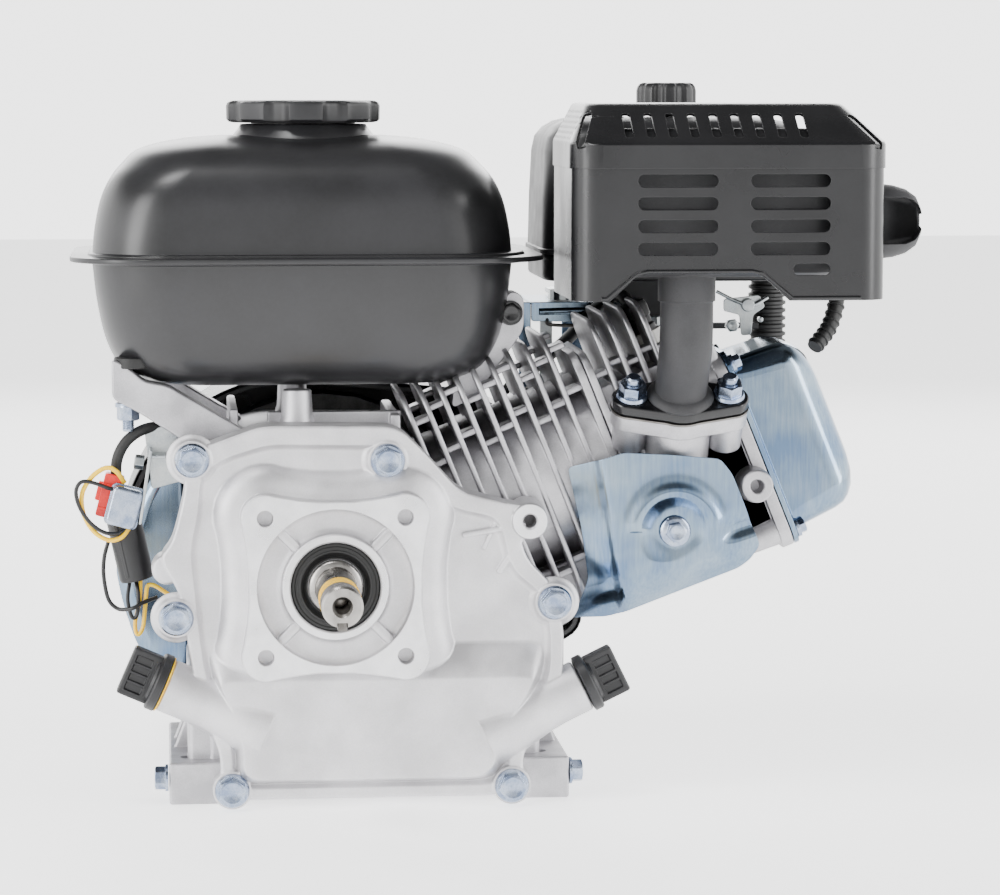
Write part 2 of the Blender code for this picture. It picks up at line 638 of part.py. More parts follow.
def make_heat_deflector():
    points = [(111.6, 157.8), (136.8, 165.8), (183, 162.5), (188.6, 155.5), (197.2, 134.4), (203, 120.6),
              (194, 108.7), (131.7, 84.8), (111.9, 83.6), (121.6, 104.4)]
    sheet = plate(points, -59.6, -57.9, "heat_deflector")
    bolt = prism(arc((0, 0), 6.9, 0, 300, 5), 59, 67, shaft_frame(*DEFLECTOR_BOLT))
    washer = cylinder(9, 58.5, 61.5, shaft_frame(*DEFLECTOR_BOLT), 20)
    shank = cylinder(2.9, 48, 60, shaft_frame(*DEFLECTOR_BOLT), 12)
    join(sheet, washer, bolt, shank)
    return sheet


# The exhaust.
def make_muffler():
    can = loft([(z, rounded((178, MUFFLER_Y), x, y, 16, 3))
                for z, x, y in ((250, 54, 32), (254, 60, 38), (306, 60, 38), (318, 46, 26))], UP, "muffler")
    inner = loft([(z, rounded((178, MUFFLER_Y), x, y, 14, 3))
                  for z, x, y in ((252, 52, 30), (256, 58, 36), (305, 58, 36), (316, 44, 24))])
    axis = port_frame()
    foot = axis @ Vector((0, 0, 4))
    route = [foot, axis @ Vector((0, 0, 14)), Vector((164, -73, 214)), Vector((164, -76, 226)),
             Vector((164, -76, 254))]
    pipe = tube([tuple(p) for p in smooth_route(route, 2)], 12.5, resolution=2)
    flange = prism(port_outline(), -0.6, 6, axis)
    collar = cylinder(16, 2, 9, axis, 16)
    join(can, pipe, flange, collar)
    way = tube([tuple(p) for p in smooth_route([axis @ Vector((0, 0, -6)), *route[1:],
                                                Vector((164, -76, 262))], 2)],
               10.4, resolution=2)
    cut(can, inner, way, cylinder(15, 225, 250, aimed((0, OUTLET[0], OUTLET[1]), (1, 0, 0)), 20))
    return can


def make_muffler_guard():
    """A folded cover that is open underneath and behind."""
    left, right = 107.0, 254.0
    front, back = -105.0, -10.0

    def shell(inset, low, depth):
        def level(z, side, lean):
            x = (left + right) / 2
            half_x = (right - left) / 2 - side - inset
            near = front + lean + inset
            far = back + depth
            return z, rounded((x, (near + far) / 2), half_x, (far - near) / 2, 9 - inset, 2)
        return [level(low, 0, 0), level(311 - inset * 0.4, 0, 0), level(330 - inset, 9, 30)]

    guard = loft(shell(0, 240, 0), UP, "muffler_guard")
    cut(guard, loft(shell(1.8, 235, 30)))
    slots = []
    for row in range(4):
        for x in (137.3, 189.3):
            z = 263.9 + 10.35 * row
            slots.append(plate(rounded((x + 18.5, z), 18.5, 2.8, 2.7, 1), front - 5, front + 5))
    slots.append(plate(rounded((217.8, 254.3), 8.6, 2.6, 2.5, 1), front - 5, front + 5))
    for number in range(9):
        x = 131 + 10.5 * number
        slots.append(box((x - 1.85, -104, 314), (x + 1.85, -84, 326.5)))
    notch = plate([(124.3, 239), (138.2, 253), (194, 253), (208.8, 239)], front - 5, front + 8)
    outlet = cylinder(18.6, 235, 260, aimed((0, OUTLET[0], OUTLET[1]), (1, 0, 0)), 24)
    top = box((130, -60, 325), (225, -20, 335))
    cut(guard, *slots, notch, outlet, top)
    return guard


def make_exhaust_outlet():
    axis = aimed((0, OUTLET[0], OUTLET[1]), (1, 0, 0))
    outer = [(0, 238.4), (17.8, 238.4), (17.8, 262), (15.5, 270), (10, 276), (0, 277.5)]
    inner = [(0, 237), (15, 237), (15, 261), (12.5, 268), (8, 273), (0, 274.5)]
    horn = turned(outer, axis, 16, "exhaust_outlet")
    cut(horn, turned(inner, axis, 16), box((253.1, OUTLET[0] + 2.3, OUTLET[1] - 11.3),
                                           (268.7, -20, OUTLET[1] + 9.4)))
    return horn


# Fuel and air.
TANK_LEVELS = ((199, 76, 46, 26), (201.5, 84, 54, 30), (208, 92, 62, 34), (220, 97, 67, 36),
               (SEAM_Z, 101.5, 72, 36), (SEAM_Z + 0.1, 114, 84, 40), (SEAM_Z + 2.6, 114, 84, 40),
               (SEAM_Z + 2.7, 101.5, 72, 36), (285, 98, 68.5, 36), (299, 91, 62, 36), (308, 80, 51, 34),
               (313, 62, 33, 26), (314.7, 40, 14, 12))


def tank_solid(grow, name):
    levels = [(z + (grow if z > SEAM_Z + 1 else -grow), rounded((TANK_X, TANK_Y), x + grow, y + grow, r, 4))
              for z, x, y, r in TANK_LEVELS]
    return loft(levels, UP, name)


def make_tank():
    tank = tank_solid(0, "fuel_tank")
    neck = cylinder(33, 300, 320, upright(TANK_X, CAP_Y), 28)
    join(tank, neck)
    hollow = [level for level in TANK_LEVELS if not SEAM_Z < level[0] < SEAM_Z + 3]
    inner = loft([(z + (1.6 if z <= SEAM_Z else -1.6),
                   rounded((TANK_X, TANK_Y), x - 1.6, y - 1.6, max(r - 1.6, 8), 4))
                  for z, x, y, r in hollow])
    cut(tank, inner, cylinder(26, 300, 325, upright(TANK_X, CAP_Y), 28))
    return tank


def make_fuel_cap():
    axis = upright(TANK_X, CAP_Y)
    outline = []
    for step in range(48):
        angle = math.tau * step / 48
        radius = 35.8 + 1.4 * math.tanh(3 * math.cos(8 * angle))
        outline.append((radius * math.cos(angle), radius * math.sin(angle)))
    cap = prism(outline, 320.4, 331, axis, "fuel_cap")
    stem = cylinder(25.4, 310, 321, axis, 24)
    join(cap, stem)
    set_origin(cap, (TANK_X, CAP_Y, 320))
    return cap


def make_air_cleaner():
    x, y = AIR_CLEANER
    base = prism(rounded((x, y), 66, 52, 20, 4), 243, 256, UP, "air_cleaner_base")
    elbow = box((CARB_X - 18, 84.3, CARB_Z - 17), (CARB_X + 18, 104, 247))
    stud = cylinder(3, 245, 330, upright(x, y), 12)
    join(base, elbow)
    cut(base, prism(rounded((x, y), 61, 47, 16, 4), 247, 258, UP))
    cut(base, box((CARB_X - 14, 80, CARB_Z - 12), (CARB_X + 14, 100, CARB_Z + 12)),
        box((CARB_X - 14, 88, CARB_Z - 12), (CARB_X + 14, 100, 250)))
    join(base, stud)
    named(ring(44, 30, 249, 304, upright(x, y), 24), "filter_element")
    cover = loft([(z, rounded((x, y), half_x, half_y, 20, 4))
                  for z, half_x, half_y in ((256.3, 67, 53), (312, 65, 51), (320, 60, 46),
                                            (322.5, 50, 36))], UP,
                 "air_cleaner_cover")
    cut(cover, loft([(z, rounded((x, y), half_x, half_y, 18, 4))
                     for z, half_x, half_y in ((255, 64.5, 50.5), (311, 62.5, 48.5), (318, 55, 41))]),
        cylinder(4, 310, 330, upright(x, y), 12))
    knob = turned([(0, 339.5), (13, 339.5), (15, 336), (15, 327), (8, 327), (8, 322.9), (3.4, 322.9),
                   (3.4, 333),
                   (0, 333)], upright(x, y), 16, "air_cleaner_knob")
    set_origin(cover, (x, y, 256))
    set_origin(knob, (x, y, 323))


def make_carburettor():
    axis = shaft_frame(CARB_X, CARB_Z)
    body = turned([(9, -84), (9, -44.6), (20, -44.6), (20, -58), (15, -60), (15, -72), (18, -76),
                   (18, -84)], axis, 18,
                  "carburettor", closed=True)
    tower = box((CARB_X - 13, 57.5, CARB_Z + 11), (CARB_X + 13, 77, CARB_Z + 21))
    column = cylinder(12, CARB_Z - 24, CARB_Z - 11, upright(CARB_X, 68), 16)
    boss = cylinder(5, 10, 30, aimed((CARB_X, 68, CARB_Z - 18), (1, 0, 0)), 16)
    join(body, tower, column, boss)
    bowl = cylinder(19, CARB_Z - 50, CARB_Z - 24.3, upright(CARB_X, 68), 24, "float_bowl")
    choke = box((CARB_X + 19.3, 72, CARB_Z + 1), (CARB_X + 22, 78, CARB_Z + 26), "choke_lever")
    join(choke, box((CARB_X + 19.3, 70, CARB_Z + 20), (CARB_X + 54, 76, CARB_Z + 23)))
    set_origin(choke, (CARB_X + 20, 75, CARB_Z + 3))
    arm = box((CARB_X - 40, 59, CARB_Z + 22), (CARB_X + 5, 65, CARB_Z + 24), "throttle_arm")
    join(arm, cylinder(5, CARB_Z + 21.3, CARB_Z + 27, upright(CARB_X, 62), 12))
    set_origin(arm, (CARB_X, 62, CARB_Z + 20))
    lever = cylinder(6, 30.3, 35, aimed((CARB_X, 68, CARB_Z - 18), (1, 0, 0)), 16, "fuel_valve_lever")
    join(lever, box((CARB_X + 31, 65, CARB_Z - 42), (CARB_X + 34.5, 71, CARB_Z - 18)))
    set_origin(lever, (CARB_X + 32, 68, CARB_Z - 18))
    return bowl


def make_controls():
    arm = box((109, 50, 146), (115, 53, 228), "governor_arm")
    join(arm, cylinder(7, -54, -49, shaft_frame(112, 152), 16))
    set_origin(arm, (112, 51.5, 152))
    lever = box((118, 54, 232), (126, 112, 234.5), "control_lever")
    join(lever, cylinder(8, 231, 236, upright(122, 60), 16))
    set_origin(lever, (122, 60, 233))


def make_breather_hose():
    route = [(238.6, 40, 251), (246, 40, 251), (252, 40, 246), (257, 38, 234), (252, 30, 219),
             (243, 22, 209)]
    return tube([tuple(p) for p in smooth_route(route, 3)], 4.2, "breather_hose")


# Cooling, starting and ignition.
def blower_outline():
    points = []
    for step in range(17):
        angle = 95 + 215 * step / 16
        radius = 88 + 16 * math.sin(math.radians(180 * step / 16))
        points.append((radius * math.cos(math.radians(angle)), CRANK_Z
                       + radius * math.sin(math.radians(angle))))
    return points + [(100, 46), (132, 62), (132, 128), (112, 164), (66, 190)]


def make_blower():
    outline = blower_outline()
    housing = plate(outline, BLOWER_FRONT, BLOWER_BACK, "blower_housing")
    inside = plate(offset(outline, -2.2), BLOWER_FRONT - 1, BLOWER_BACK - 2.2)
    window = cylinder(62, -140, -110, shaft_frame(0, CRANK_Z), 32)
    cut(housing, inside, window)
    axis = shaft_frame(0, CRANK_Z)
    rim = FLYWHEEL_R - 14
    profile = [(12.5, -66), (30, -66), (34, -72), (rim, -72), (rim, -66), (FLYWHEEL_R, -66),
               (FLYWHEEL_R, -92), (34, -92), (30, -104), (12.5, -104)]
    wheel = turned(profile, axis, 28, "flywheel", closed=True)
    blades = []
    for number in range(10):
        turn = axis @ Matrix.Rotation(math.tau * number / 10, 4, "Z")
        blades.append(block((44, -1.5, -103), (FLYWHEEL_R - 1, 1.5, -91), turn))
    join(wheel, *blades)
    set_origin(wheel, CRANK)
    cup = turned([(6.4, -104.4), (34, -104.4), (34, -124), (31.5, -124), (31.5, -107), (6.4, -107)], axis,
                 24,
                 "starter_cup", closed=True)
    set_origin(cup, CRANK)
    angle = math.radians(36)
    spot = frame_of((0, 0, CRANK_Z), (math.cos(angle), 0, math.sin(angle)), (0, -1, 0))
    block((FLYWHEEL_R + 1, -16, -88), (FLYWHEEL_R + 22, 16, -66), spot, "ignition_coil")


def make_recoil():
    axis = shaft_frame(0, CRANK_Z)
    cover = turned([(0, -RECOIL_BACK), (40, -RECOIL_BACK), (58, -177), (RECOIL_R, -160), (RECOIL_R, -136),
                    (RECOIL_R + 6, -136), (RECOIL_R + 6, -132.3), (RECOIL_R - 3, -132.3),
                    (RECOIL_R - 3, -159),
                    (56, -174), (39, -178.5), (0, -178.5)], axis, 24, "recoil_cover")
    way = aimed((0, 156, CRANK_Z), (-1, 0, 1))
    cut(cover, cylinder(8, 50, 80, way, 16))
    join(cover, cylinder(7, -179.5, -140, axis, 16))
    vents = [block((46, -4, -190), (54, 4, -150),
                   axis @ Matrix.Rotation(math.radians(15 + 60 * n), 4, "Z")) for n in range(6)]
    cut(cover, *vents)
    reel = turned([(7.4, -146), (46, -146), (46, -149), (38, -150), (38, -160), (46, -161), (46, -164),
                   (7.4, -164)],
                  axis, 20, "rope_reel", closed=True)
    set_origin(reel, (0, 155, CRANK_Z))
    handle = prism(rounded((0, 0), 36, 9, 8.8, 3), 76, 90, aimed((0, 156, CRANK_Z), (-1, 0, 1)),
                   "recoil_handle")
    join(handle, cylinder(7, 71, 78, way, 16))
    set_origin(handle, way @ Vector((0, 0, 76)))
    switch = cylinder(10, -146, -BLOWER_BACK - GAP, shaft_frame(108, 92), 20, "stop_switch")
    join(switch, box((105.5, 145, 84), (110.5, 152, 100)))
    set_origin(switch, (108, 140, 92))


def make_oil_alert():
    module = box((-107, -40, 130), (-89, -24, 152), "oil_alert_module")
    join(module, cylinder(7, 103, 131, upright(-98, -31), 16), box((-92, -33, 140), (-73.5, -30, 160)))
    return module


# Looks. Each piece has its own material, from a family of colour, roughness and metallic values.
FINISHES = {
    "cast": ((0.56, 0.55, 0.53), 0.5, 1.0),
    "steel": ((0.48, 0.47, 0.45), 0.3, 1.0),
    "zinc": ((0.62, 0.66, 0.70), 0.25, 1.0),
    "black_sheet": ((0.012, 0.012, 0.013), 0.35, 0.0),
    "black_plastic": ((0.018, 0.018, 0.018), 0.5, 0.0),
    "rubber": ((0.010, 0.010, 0.010), 0.7, 0.0),
    "heat_paint": ((0.04, 0.038, 0.036), 0.7, 0.2),
    "foam": ((0.05, 0.05, 0.045), 0.95, 0.0),
    "brass": ((0.60, 0.44, 0.20), 0.35, 1.0),
    "red_plastic": ((0.5, 0.02, 0.02), 0.4, 0.0),
}
FINISH_OF = {
    "crankcase": "cast", "side_cover": "cast", "cylinder_head": "cast", "carburettor": "cast",
    "piston": "cast", "connecting_rod": "cast", "flywheel": "cast", "pto_bearing": "steel",
    "rear_bearing": "steel",
    "crankshaft_front": "steel", "crankshaft_rear": "steel", "crankpin": "steel", "wrist_pin": "steel",
    "shaft_key": "steel", "camshaft": "steel", "starter_cup": "steel", "rocker_cover": "zinc",
    "heat_deflector": "zinc", "oil_alert_module": "zinc", "float_bowl": "zinc", "control_lever": "zinc",
    "governor_arm": "zinc", "throttle_arm": "zinc", "oil_seal": "rubber", "breather_hose": "rubber",
    "spark_plug": "zinc", "spark_plug_cap": "rubber", "muffler": "heat_paint", "exhaust_outlet": "heat_paint",
    "muffler_guard": "black_sheet", "fuel_tank": "black_sheet", "recoil_cover": "black_sheet",
    "blower_housing": "black_sheet", "filter_element": "foam", "stop_switch": "red_plastic",
}


def finish_of(name):
    if name in FINISH_OF:
        return FINISH_OF[name]
    if "bolt" in name or "drain" in name:
        return "zinc"
    if "valve" in name or "rocker" in name or "pushrod" in name:
        return "steel"
    return "black_plastic"


def paint(made):
    colour, roughness, metallic = FINISHES[finish_of(made.name)]
    material = bpy.data.materials.new(made.name)
    material.use_nodes = True
    shader = material.node_tree.nodes["Principled BSDF"]
    shader.inputs["Base Color"].default_value = (*colour, 1.0)
    shader.inputs["Roughness"].default_value = roughness
    shader.inputs["Metallic"].default_value = metallic
    made.data.materials.clear()
    made.data.materials.append(material)
    made.data.shade_smooth()
    made.data.set_sharp_from_angle(angle=math.radians(35))


make_crankcase()
make_side_cover()
make_seal_and_bearings()
make_cover_bolts()
make_drain_plugs()
make_dipsticks()
make_crankshaft()
make_piston_group()
make_camshaft()
make_valve_train()
make_cylinder_head()
make_rocker_cover()
make_spark_plug()
make_heat_deflector()
make_muffler()
make_muffler_guard()
make_exhaust_outlet()
make_tank()
make_fuel_cap()
make_air_cleaner()
make_carburettor()
make_controls()
make_breather_hose()
make_blower()
make_recoil()
make_oil_alert()
for piece in bpy.context.scene.objects:
    paint(piece)
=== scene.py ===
# %% [markdown]
# # A small petrol engine, finished over its working frame
#
# The engine already exists as a frame of plain solids that move on real joints. This lesson loads
# that frame and gives every piece that shows its true shape and finish. X runs from the tank side
# to the cylinder head, Y from the output shaft to the recoil starter, and Z up. Pieces are drawn in
# millimetres and scaled once, when they are linked.

# %% Load the frame
import math

import bmesh
import bpy
from mathutils import Matrix, Vector


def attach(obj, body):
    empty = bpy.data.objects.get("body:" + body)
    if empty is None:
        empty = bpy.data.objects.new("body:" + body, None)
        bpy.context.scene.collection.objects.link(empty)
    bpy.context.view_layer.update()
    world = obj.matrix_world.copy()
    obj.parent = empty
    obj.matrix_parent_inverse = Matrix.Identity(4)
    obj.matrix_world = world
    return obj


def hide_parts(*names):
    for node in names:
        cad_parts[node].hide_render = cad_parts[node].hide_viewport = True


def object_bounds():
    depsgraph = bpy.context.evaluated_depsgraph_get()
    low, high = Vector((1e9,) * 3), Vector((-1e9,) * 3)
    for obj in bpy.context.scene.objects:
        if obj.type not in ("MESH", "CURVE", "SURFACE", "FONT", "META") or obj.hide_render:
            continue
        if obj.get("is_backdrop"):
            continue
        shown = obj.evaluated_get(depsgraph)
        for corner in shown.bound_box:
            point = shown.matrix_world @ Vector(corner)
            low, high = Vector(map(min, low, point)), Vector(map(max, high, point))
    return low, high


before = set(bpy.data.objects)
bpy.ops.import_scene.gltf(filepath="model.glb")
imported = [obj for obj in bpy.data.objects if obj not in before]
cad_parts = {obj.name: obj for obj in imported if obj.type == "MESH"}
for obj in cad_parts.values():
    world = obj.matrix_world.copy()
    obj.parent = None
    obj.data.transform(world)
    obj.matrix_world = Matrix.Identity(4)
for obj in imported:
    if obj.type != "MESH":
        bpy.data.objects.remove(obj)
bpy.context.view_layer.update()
MM = 0.001

# %% [markdown]
# ## The camera
#
# A long lens from well in front keeps the engine's sides nearly parallel, as in a catalogue
# picture. The camera stands a little to the left of the shaft and above it, and looks slightly
# down. It comes first, so that every later piece can be judged through it.

# %% Place the camera
CAMERA_PLACE = Vector((-76.66, -1678.0, 339.0))
CAMERA_YAW = math.radians(5.469)
CAMERA_PITCH = math.radians(5.972)
view = bpy.data.cameras.new("catalogue_camera")
view.sensor_width = 36.0
view.lens = 125.2
view.clip_start = 0.05
camera = bpy.data.objects.new("catalogue_camera", view)
camera.location = CAMERA_PLACE * MM
camera.rotation_euler = (math.pi / 2 - CAMERA_PITCH, 0, -CAMERA_YAW)
bpy.context.scene.collection.objects.link(camera)
bpy.context.scene.camera = camera
print("camera distance in m:", round(camera.location.length, 3))

# %% [markdown]
# ## Studio
#
# A product table is a pale floor in a white room whose ceiling is dark. Low light from all sides
# gives the castings their even tone, and the dark ceiling keeps the top of the black tank and guard
# black. The wall behind the camera is dimmer than the side walls, so that bright zinc shows a play
# of light and dark, because such sheet only shows what it mirrors. One small function adds a shader
# node with its settings and links.

# %% Build the floor and the lamps
def lamp(name, place, target, width, height, power):
    """A rectangular soft box that faces a target."""
    light = bpy.data.lights.new(name, "AREA")
    light.shape = "RECTANGLE"
    light.size = width
    light.size_y = height
    light.energy = power
    made = bpy.data.objects.new(name, light)
    made.location = place
    made.rotation_euler = (Vector(target) - Vector(place)).to_track_quat("-Z", "Y").to_euler()
    bpy.context.scene.collection.objects.link(made)
    return made


def add_node(tree, kind, settings=None, values=None, links=None):
    """Adds a shader node, and sets its properties, its input values and its incoming links."""
    node = tree.nodes.new("ShaderNode" + kind)
    for name, value in (settings or {}).items():
        setattr(node, name, value)
    for socket, value in (values or {}).items():
        node.inputs[socket].default_value = value
    for socket, source in (links or {}).items():
        tree.links.new(source, node.inputs[socket])
    return node


lamp("lamp_left", (-1.5, -1.0, 0.9), (0.0, 0.0, 0.15), 0.7, 1.5, 30)
lamp("lamp_right", (1.6, -0.9, 0.8), (0.1, 0.0, 0.15), 0.5, 1.5, 20)
lamp("lamp_back", (0.2, 1.9, 1.0), (0.0, 0.0, 0.2), 2.0, 0.8, 30)
lamp("lamp_above", (-0.5, -0.5, 1.9), (0.0, 0.0, 0.1), 0.5, 0.4, 14)
ROOM_STRENGTH = 3.4
FLOOR_REACH = 6.0
room = bpy.data.worlds.new("white_room")
room.use_nodes = True
tree = room.node_tree
way = add_node(tree, "SeparateXYZ", links={"Vector": add_node(tree, "TexCoord").outputs["Generated"]})
ceiling = add_node(tree, "MapRange", {"interpolation_type": "SMOOTHSTEP"},
                   {"From Min": 0.3, "From Max": 0.66, "To Min": 1.0, "To Max": 0.07},
                   {"Value": way.outputs["Z"]})
wall = add_node(tree, "MapRange", {"interpolation_type": "SMOOTHSTEP"},
                {"From Min": -0.99, "From Max": -0.66, "To Min": 0.4, "To Max": 1.0},
                {"Value": way.outputs["Y"]})
light = add_node(tree, "Math", {"operation": "MULTIPLY"},
                 links={0: ceiling.outputs["Result"], 1: wall.outputs["Result"]})
strength = add_node(tree, "Math", {"operation": "MULTIPLY"}, {1: ROOM_STRENGTH}, {0: light.outputs[0]})
tree.links.new(strength.outputs[0], tree.nodes["Background"].inputs["Strength"])
tree.nodes["Background"].inputs["Color"].default_value = (1.0, 1.0, 1.0, 1.0)
bpy.context.scene.world = room
bm = bmesh.new()
bmesh.ops.create_grid(bm, x_segments=1, y_segments=1, size=FLOOR_REACH)
floor_mesh = bpy.data.meshes.new("floor")
bm.to_mesh(floor_mesh)
bm.free()
floor = bpy.data.objects.new("floor", floor_mesh)
bpy.context.scene.collection.objects.link(floor)
floor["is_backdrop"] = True

# %% [markdown]
# ## Colours and finishes
#
# Paint and metal colours are read as sRGB hex values, as on a colour chart, and a renderer works in
# linear light, so one function turns them over. Nearly every surface here has the same build: a
# fine grain that gives the relief and some of the tone, and slow patches that change the colour and
# the gloss a little. One function mixes that finish, and each material below says only its colours,
# its gloss and its real sizes in millimetres.

# %% Define the finish
def linear(code):
    """An sRGB hex colour as linear RGBA."""
    shares = [int(code[i:i + 2], 16) / 255 for i in (1, 3, 5)]
    return (*[s / 12.92 if s <= 0.04045 else ((s + 0.055) / 1.055) ** 2.4 for s in shares], 1.0)


GRAIN_SHARE = 0.35
DARK_AT, LIGHT_AT = 0.5, 0.85


def finish(name, dark, light, metallic, gloss, grain, patch, depth, edge=0.3, stretch=(1, 1, 1),
           emission=0.0):
    """A surface with a grain and patches. `gloss` is its lowest and highest roughness."""
    made = bpy.data.materials.new(name)
    made.use_nodes = True
    tree = made.node_tree
    shader = tree.nodes["Principled BSDF"]
    shader.inputs["Metallic"].default_value = metallic
    place = add_node(tree, "TexCoord").outputs["Object"]
    drawn = add_node(tree, "Mapping", values={"Scale": stretch}, links={"Vector": place}).outputs["Vector"]
    fine = add_node(tree, "TexNoise", values={"Scale": 1 / (grain * MM), "Detail": 3.0},
                    links={"Vector": drawn})
    slow = add_node(tree, "TexNoise", values={"Scale": 1 / (patch * MM), "Detail": 3.0},
                    links={"Vector": place})
    tone = add_node(tree, "Math", {"operation": "MULTIPLY_ADD"}, {1: GRAIN_SHARE},
                    {0: fine.outputs["Fac"], 2: slow.outputs["Fac"]})
    ramp = add_node(tree, "ValToRGB", links={"Fac": tone.outputs[0]})
    ramp.color_ramp.elements[0].position = DARK_AT
    ramp.color_ramp.elements[0].color = linear(dark)
    ramp.color_ramp.elements[1].position = LIGHT_AT
    ramp.color_ramp.elements[1].color = linear(light)
    rough = add_node(tree, "MapRange", values={"From Min": 0.3, "From Max": 0.7, "To Min": gloss[0],
                                               "To Max": gloss[1]},
                     links={"Value": slow.outputs["Fac"]})
    corner = add_node(tree, "Bevel", {"samples": 6}, {"Radius": edge * MM})
    relief = add_node(tree, "Bump", values={"Strength": 0.5, "Distance": depth * MM},
                      links={"Height": fine.outputs["Fac"], "Normal": corner.outputs["Normal"]})
    tree.links.new(ramp.outputs["Color"], shader.inputs["Base Color"])
    tree.links.new(rough.outputs["Result"], shader.inputs["Roughness"])
    tree.links.new(relief.outputs["Normal"], shader.inputs["Normal"])
    if emission:
        tree.links.new(ramp.outputs["Color"], shader.inputs["Emission Color"])
        shader.inputs["Emission Strength"].default_value = emission
    return made


floor_paint = finish("pale_table_top", "#f0f0f0", "#f4f4f4", 0.0, (0.6, 0.7), 1.0, 60.0, 0.01, emission=1.7)
floor_mesh.materials.append(floor_paint)
print("floor:", floor_paint.name)

# %% [markdown]
# ## Die-cast and machined aluminium
#
# The case, its cover and the head are pressure die castings. The skin is pale grey, neither mirror
# nor chalk, with a fine grain from shot blasting of about half a millimetre, drawn at 0.7 mm so
# that it shows, and slow patches where the metal flowed. The case, the head and the tank stay get a
# darker copy of that skin, which is painted shade for the shade among the fins and under the tank.
# Corners are never sharp on a casting, so the shading rounds them. The mounting pad and the bolt
# faces are milled: brighter, with the cutter's soft rings 8 mm apart about the shaft's axis.

# %% Mix the aluminium
cast_skin = finish("die_cast_aluminium", "#c2c1c3", "#d9d8da", 1.0, (0.48, 0.6), 0.7, 22.0, 0.03, 1.1)
# A darker copy of the same aluminium: painted shade for the shade among the fins and under the tank.
shaded_cast_skin = finish("die_cast_aluminium_painted_shade", "#a6a5a8", "#c6c5c8", 1.0, (0.42, 0.54), 0.7, 16.0, 0.03,
                       0.6)
cast_dark = finish("die_cast_carburettor_zinc", "#8e8d8c", "#b5b3b0", 1.0, (0.35, 0.48), 0.6, 9.0, 0.03, 0.6)
CRANK_Z = 106.0
WAVE_REPEAT = 0.314
CUTTER_STEP = 8.0


def milled(name, centre):
    """Bright aluminium with rings about a centre in the plane across the shaft."""
    made = finish(name, "#d4d4d6", "#ececee", 1.0, (0.26, 0.36), 0.5, 12.0, 0.005, 0.4)
    tree = made.node_tree
    shader = tree.nodes["Principled BSDF"]
    place = add_node(tree, "TexCoord").outputs["Object"]
    moved = add_node(tree, "Mapping", values={"Location": [-c * MM for c in centre], "Scale": (1, 0, 1)},
                     links={"Vector": place})
    rings = add_node(tree, "TexWave", {"wave_type": "RINGS", "rings_direction": "Y"},
                     {"Scale": WAVE_REPEAT / (CUTTER_STEP * MM), "Distortion": 1.2, "Detail": 2.0},
                     {"Vector": moved.outputs["Vector"]})
    relief = shader.inputs["Normal"].links[0].from_socket
    cuts = add_node(tree, "Bump", values={"Strength": 0.3, "Distance": 0.02 * MM},
                    links={"Height": rings.outputs["Fac"], "Normal": relief})
    tree.links.new(cuts.outputs["Normal"], shader.inputs["Normal"])
    return made


machined_face = milled("machined_aluminium", (0, 0, CRANK_Z))
print("aluminium:", cast_skin.name, shaded_cast_skin.name, machined_face.name)

# %% [markdown]
# ## Zinc plate
#
# The rocker cover, the deflector and the screws are steel with blue-passivated zinc. It is a bluish
# mirror that has been rubbed, with faint clouds of grey-green where the film's thickness varies,
# and fine scratches along one way.

# %% Mix the zinc plate
blue_zinc = finish("blue_zinc_plate", "#5f7590", "#8797a4", 1.0, (0.12, 0.22), 1.2, 30.0, 0.004, 0.4,
                   (1, 1, 0.06))
bolt_zinc = finish("bolt_zinc_plate", "#7c8aa4", "#aab4c3", 1.0, (0.18, 0.3), 1.0, 6.0, 0.006, 0.35)
linkage_zinc = finish("linkage_zinc_plate", "#9aa0a4", "#bfc3c2", 1.0, (0.25, 0.4), 0.8, 8.0, 0.006, 0.3)
print("plated steel:", blue_zinc.name, bolt_zinc.name, linkage_zinc.name)

# %% [markdown]
# ## Black paints, plastics and rubber
#
# The tank and the guard are powder coated: a smooth satin black with a faint orange peel of 2 mm
# lumps. The exhaust wears a thin matt heat paint. The caps and the air cleaner are moulded plastic
# with a spark-eroded grain, and the seal, the hose and the sleeves are rubber, which is duller and
# a little softer in its shine.

# %% Mix the blacks
tank_black = finish("satin_black_powder_coat", "#1a1a1b", "#222224", 0.0, (0.28, 0.36), 2.0, 40.0, 0.006,
                    0.4)
guard_black = finish("guard_black_powder_coat", "#0a0a0c", "#121214", 0.0, (0.24, 0.32), 1.6, 30.0, 0.008,
                     0.5)
heat_black = finish("matt_heat_paint", "#1f1f21", "#2e2e30", 0.0, (0.55, 0.68), 0.8, 14.0, 0.03, 0.6)
flange_black = finish("gloss_black_primer", "#08080a", "#121214", 0.0, (0.16, 0.26), 1.2, 8.0, 0.012, 0.5)
moulded_black = finish("black_moulded_plastic", "#0c0c0d", "#17171a", 0.0, (0.38, 0.5), 0.5, 14.0, 0.02, 0.4)
rubber_black = finish("black_rubber", "#080808", "#111111", 0.0, (0.5, 0.62), 0.9, 10.0, 0.015, 0.3)
print("blacks:", sum(1 for item in bpy.data.materials if "black" in item.name))

# %% [markdown]
# ## Steel, yellow and red
#
# The output shaft is ground steel: grey, with close rings left by the wheel, so its grain is
# stretched round the shaft. A yellow paint band marks it, the left dipstick sits on a yellow paper
# gasket, and the leads are yellow and black with a red connector.

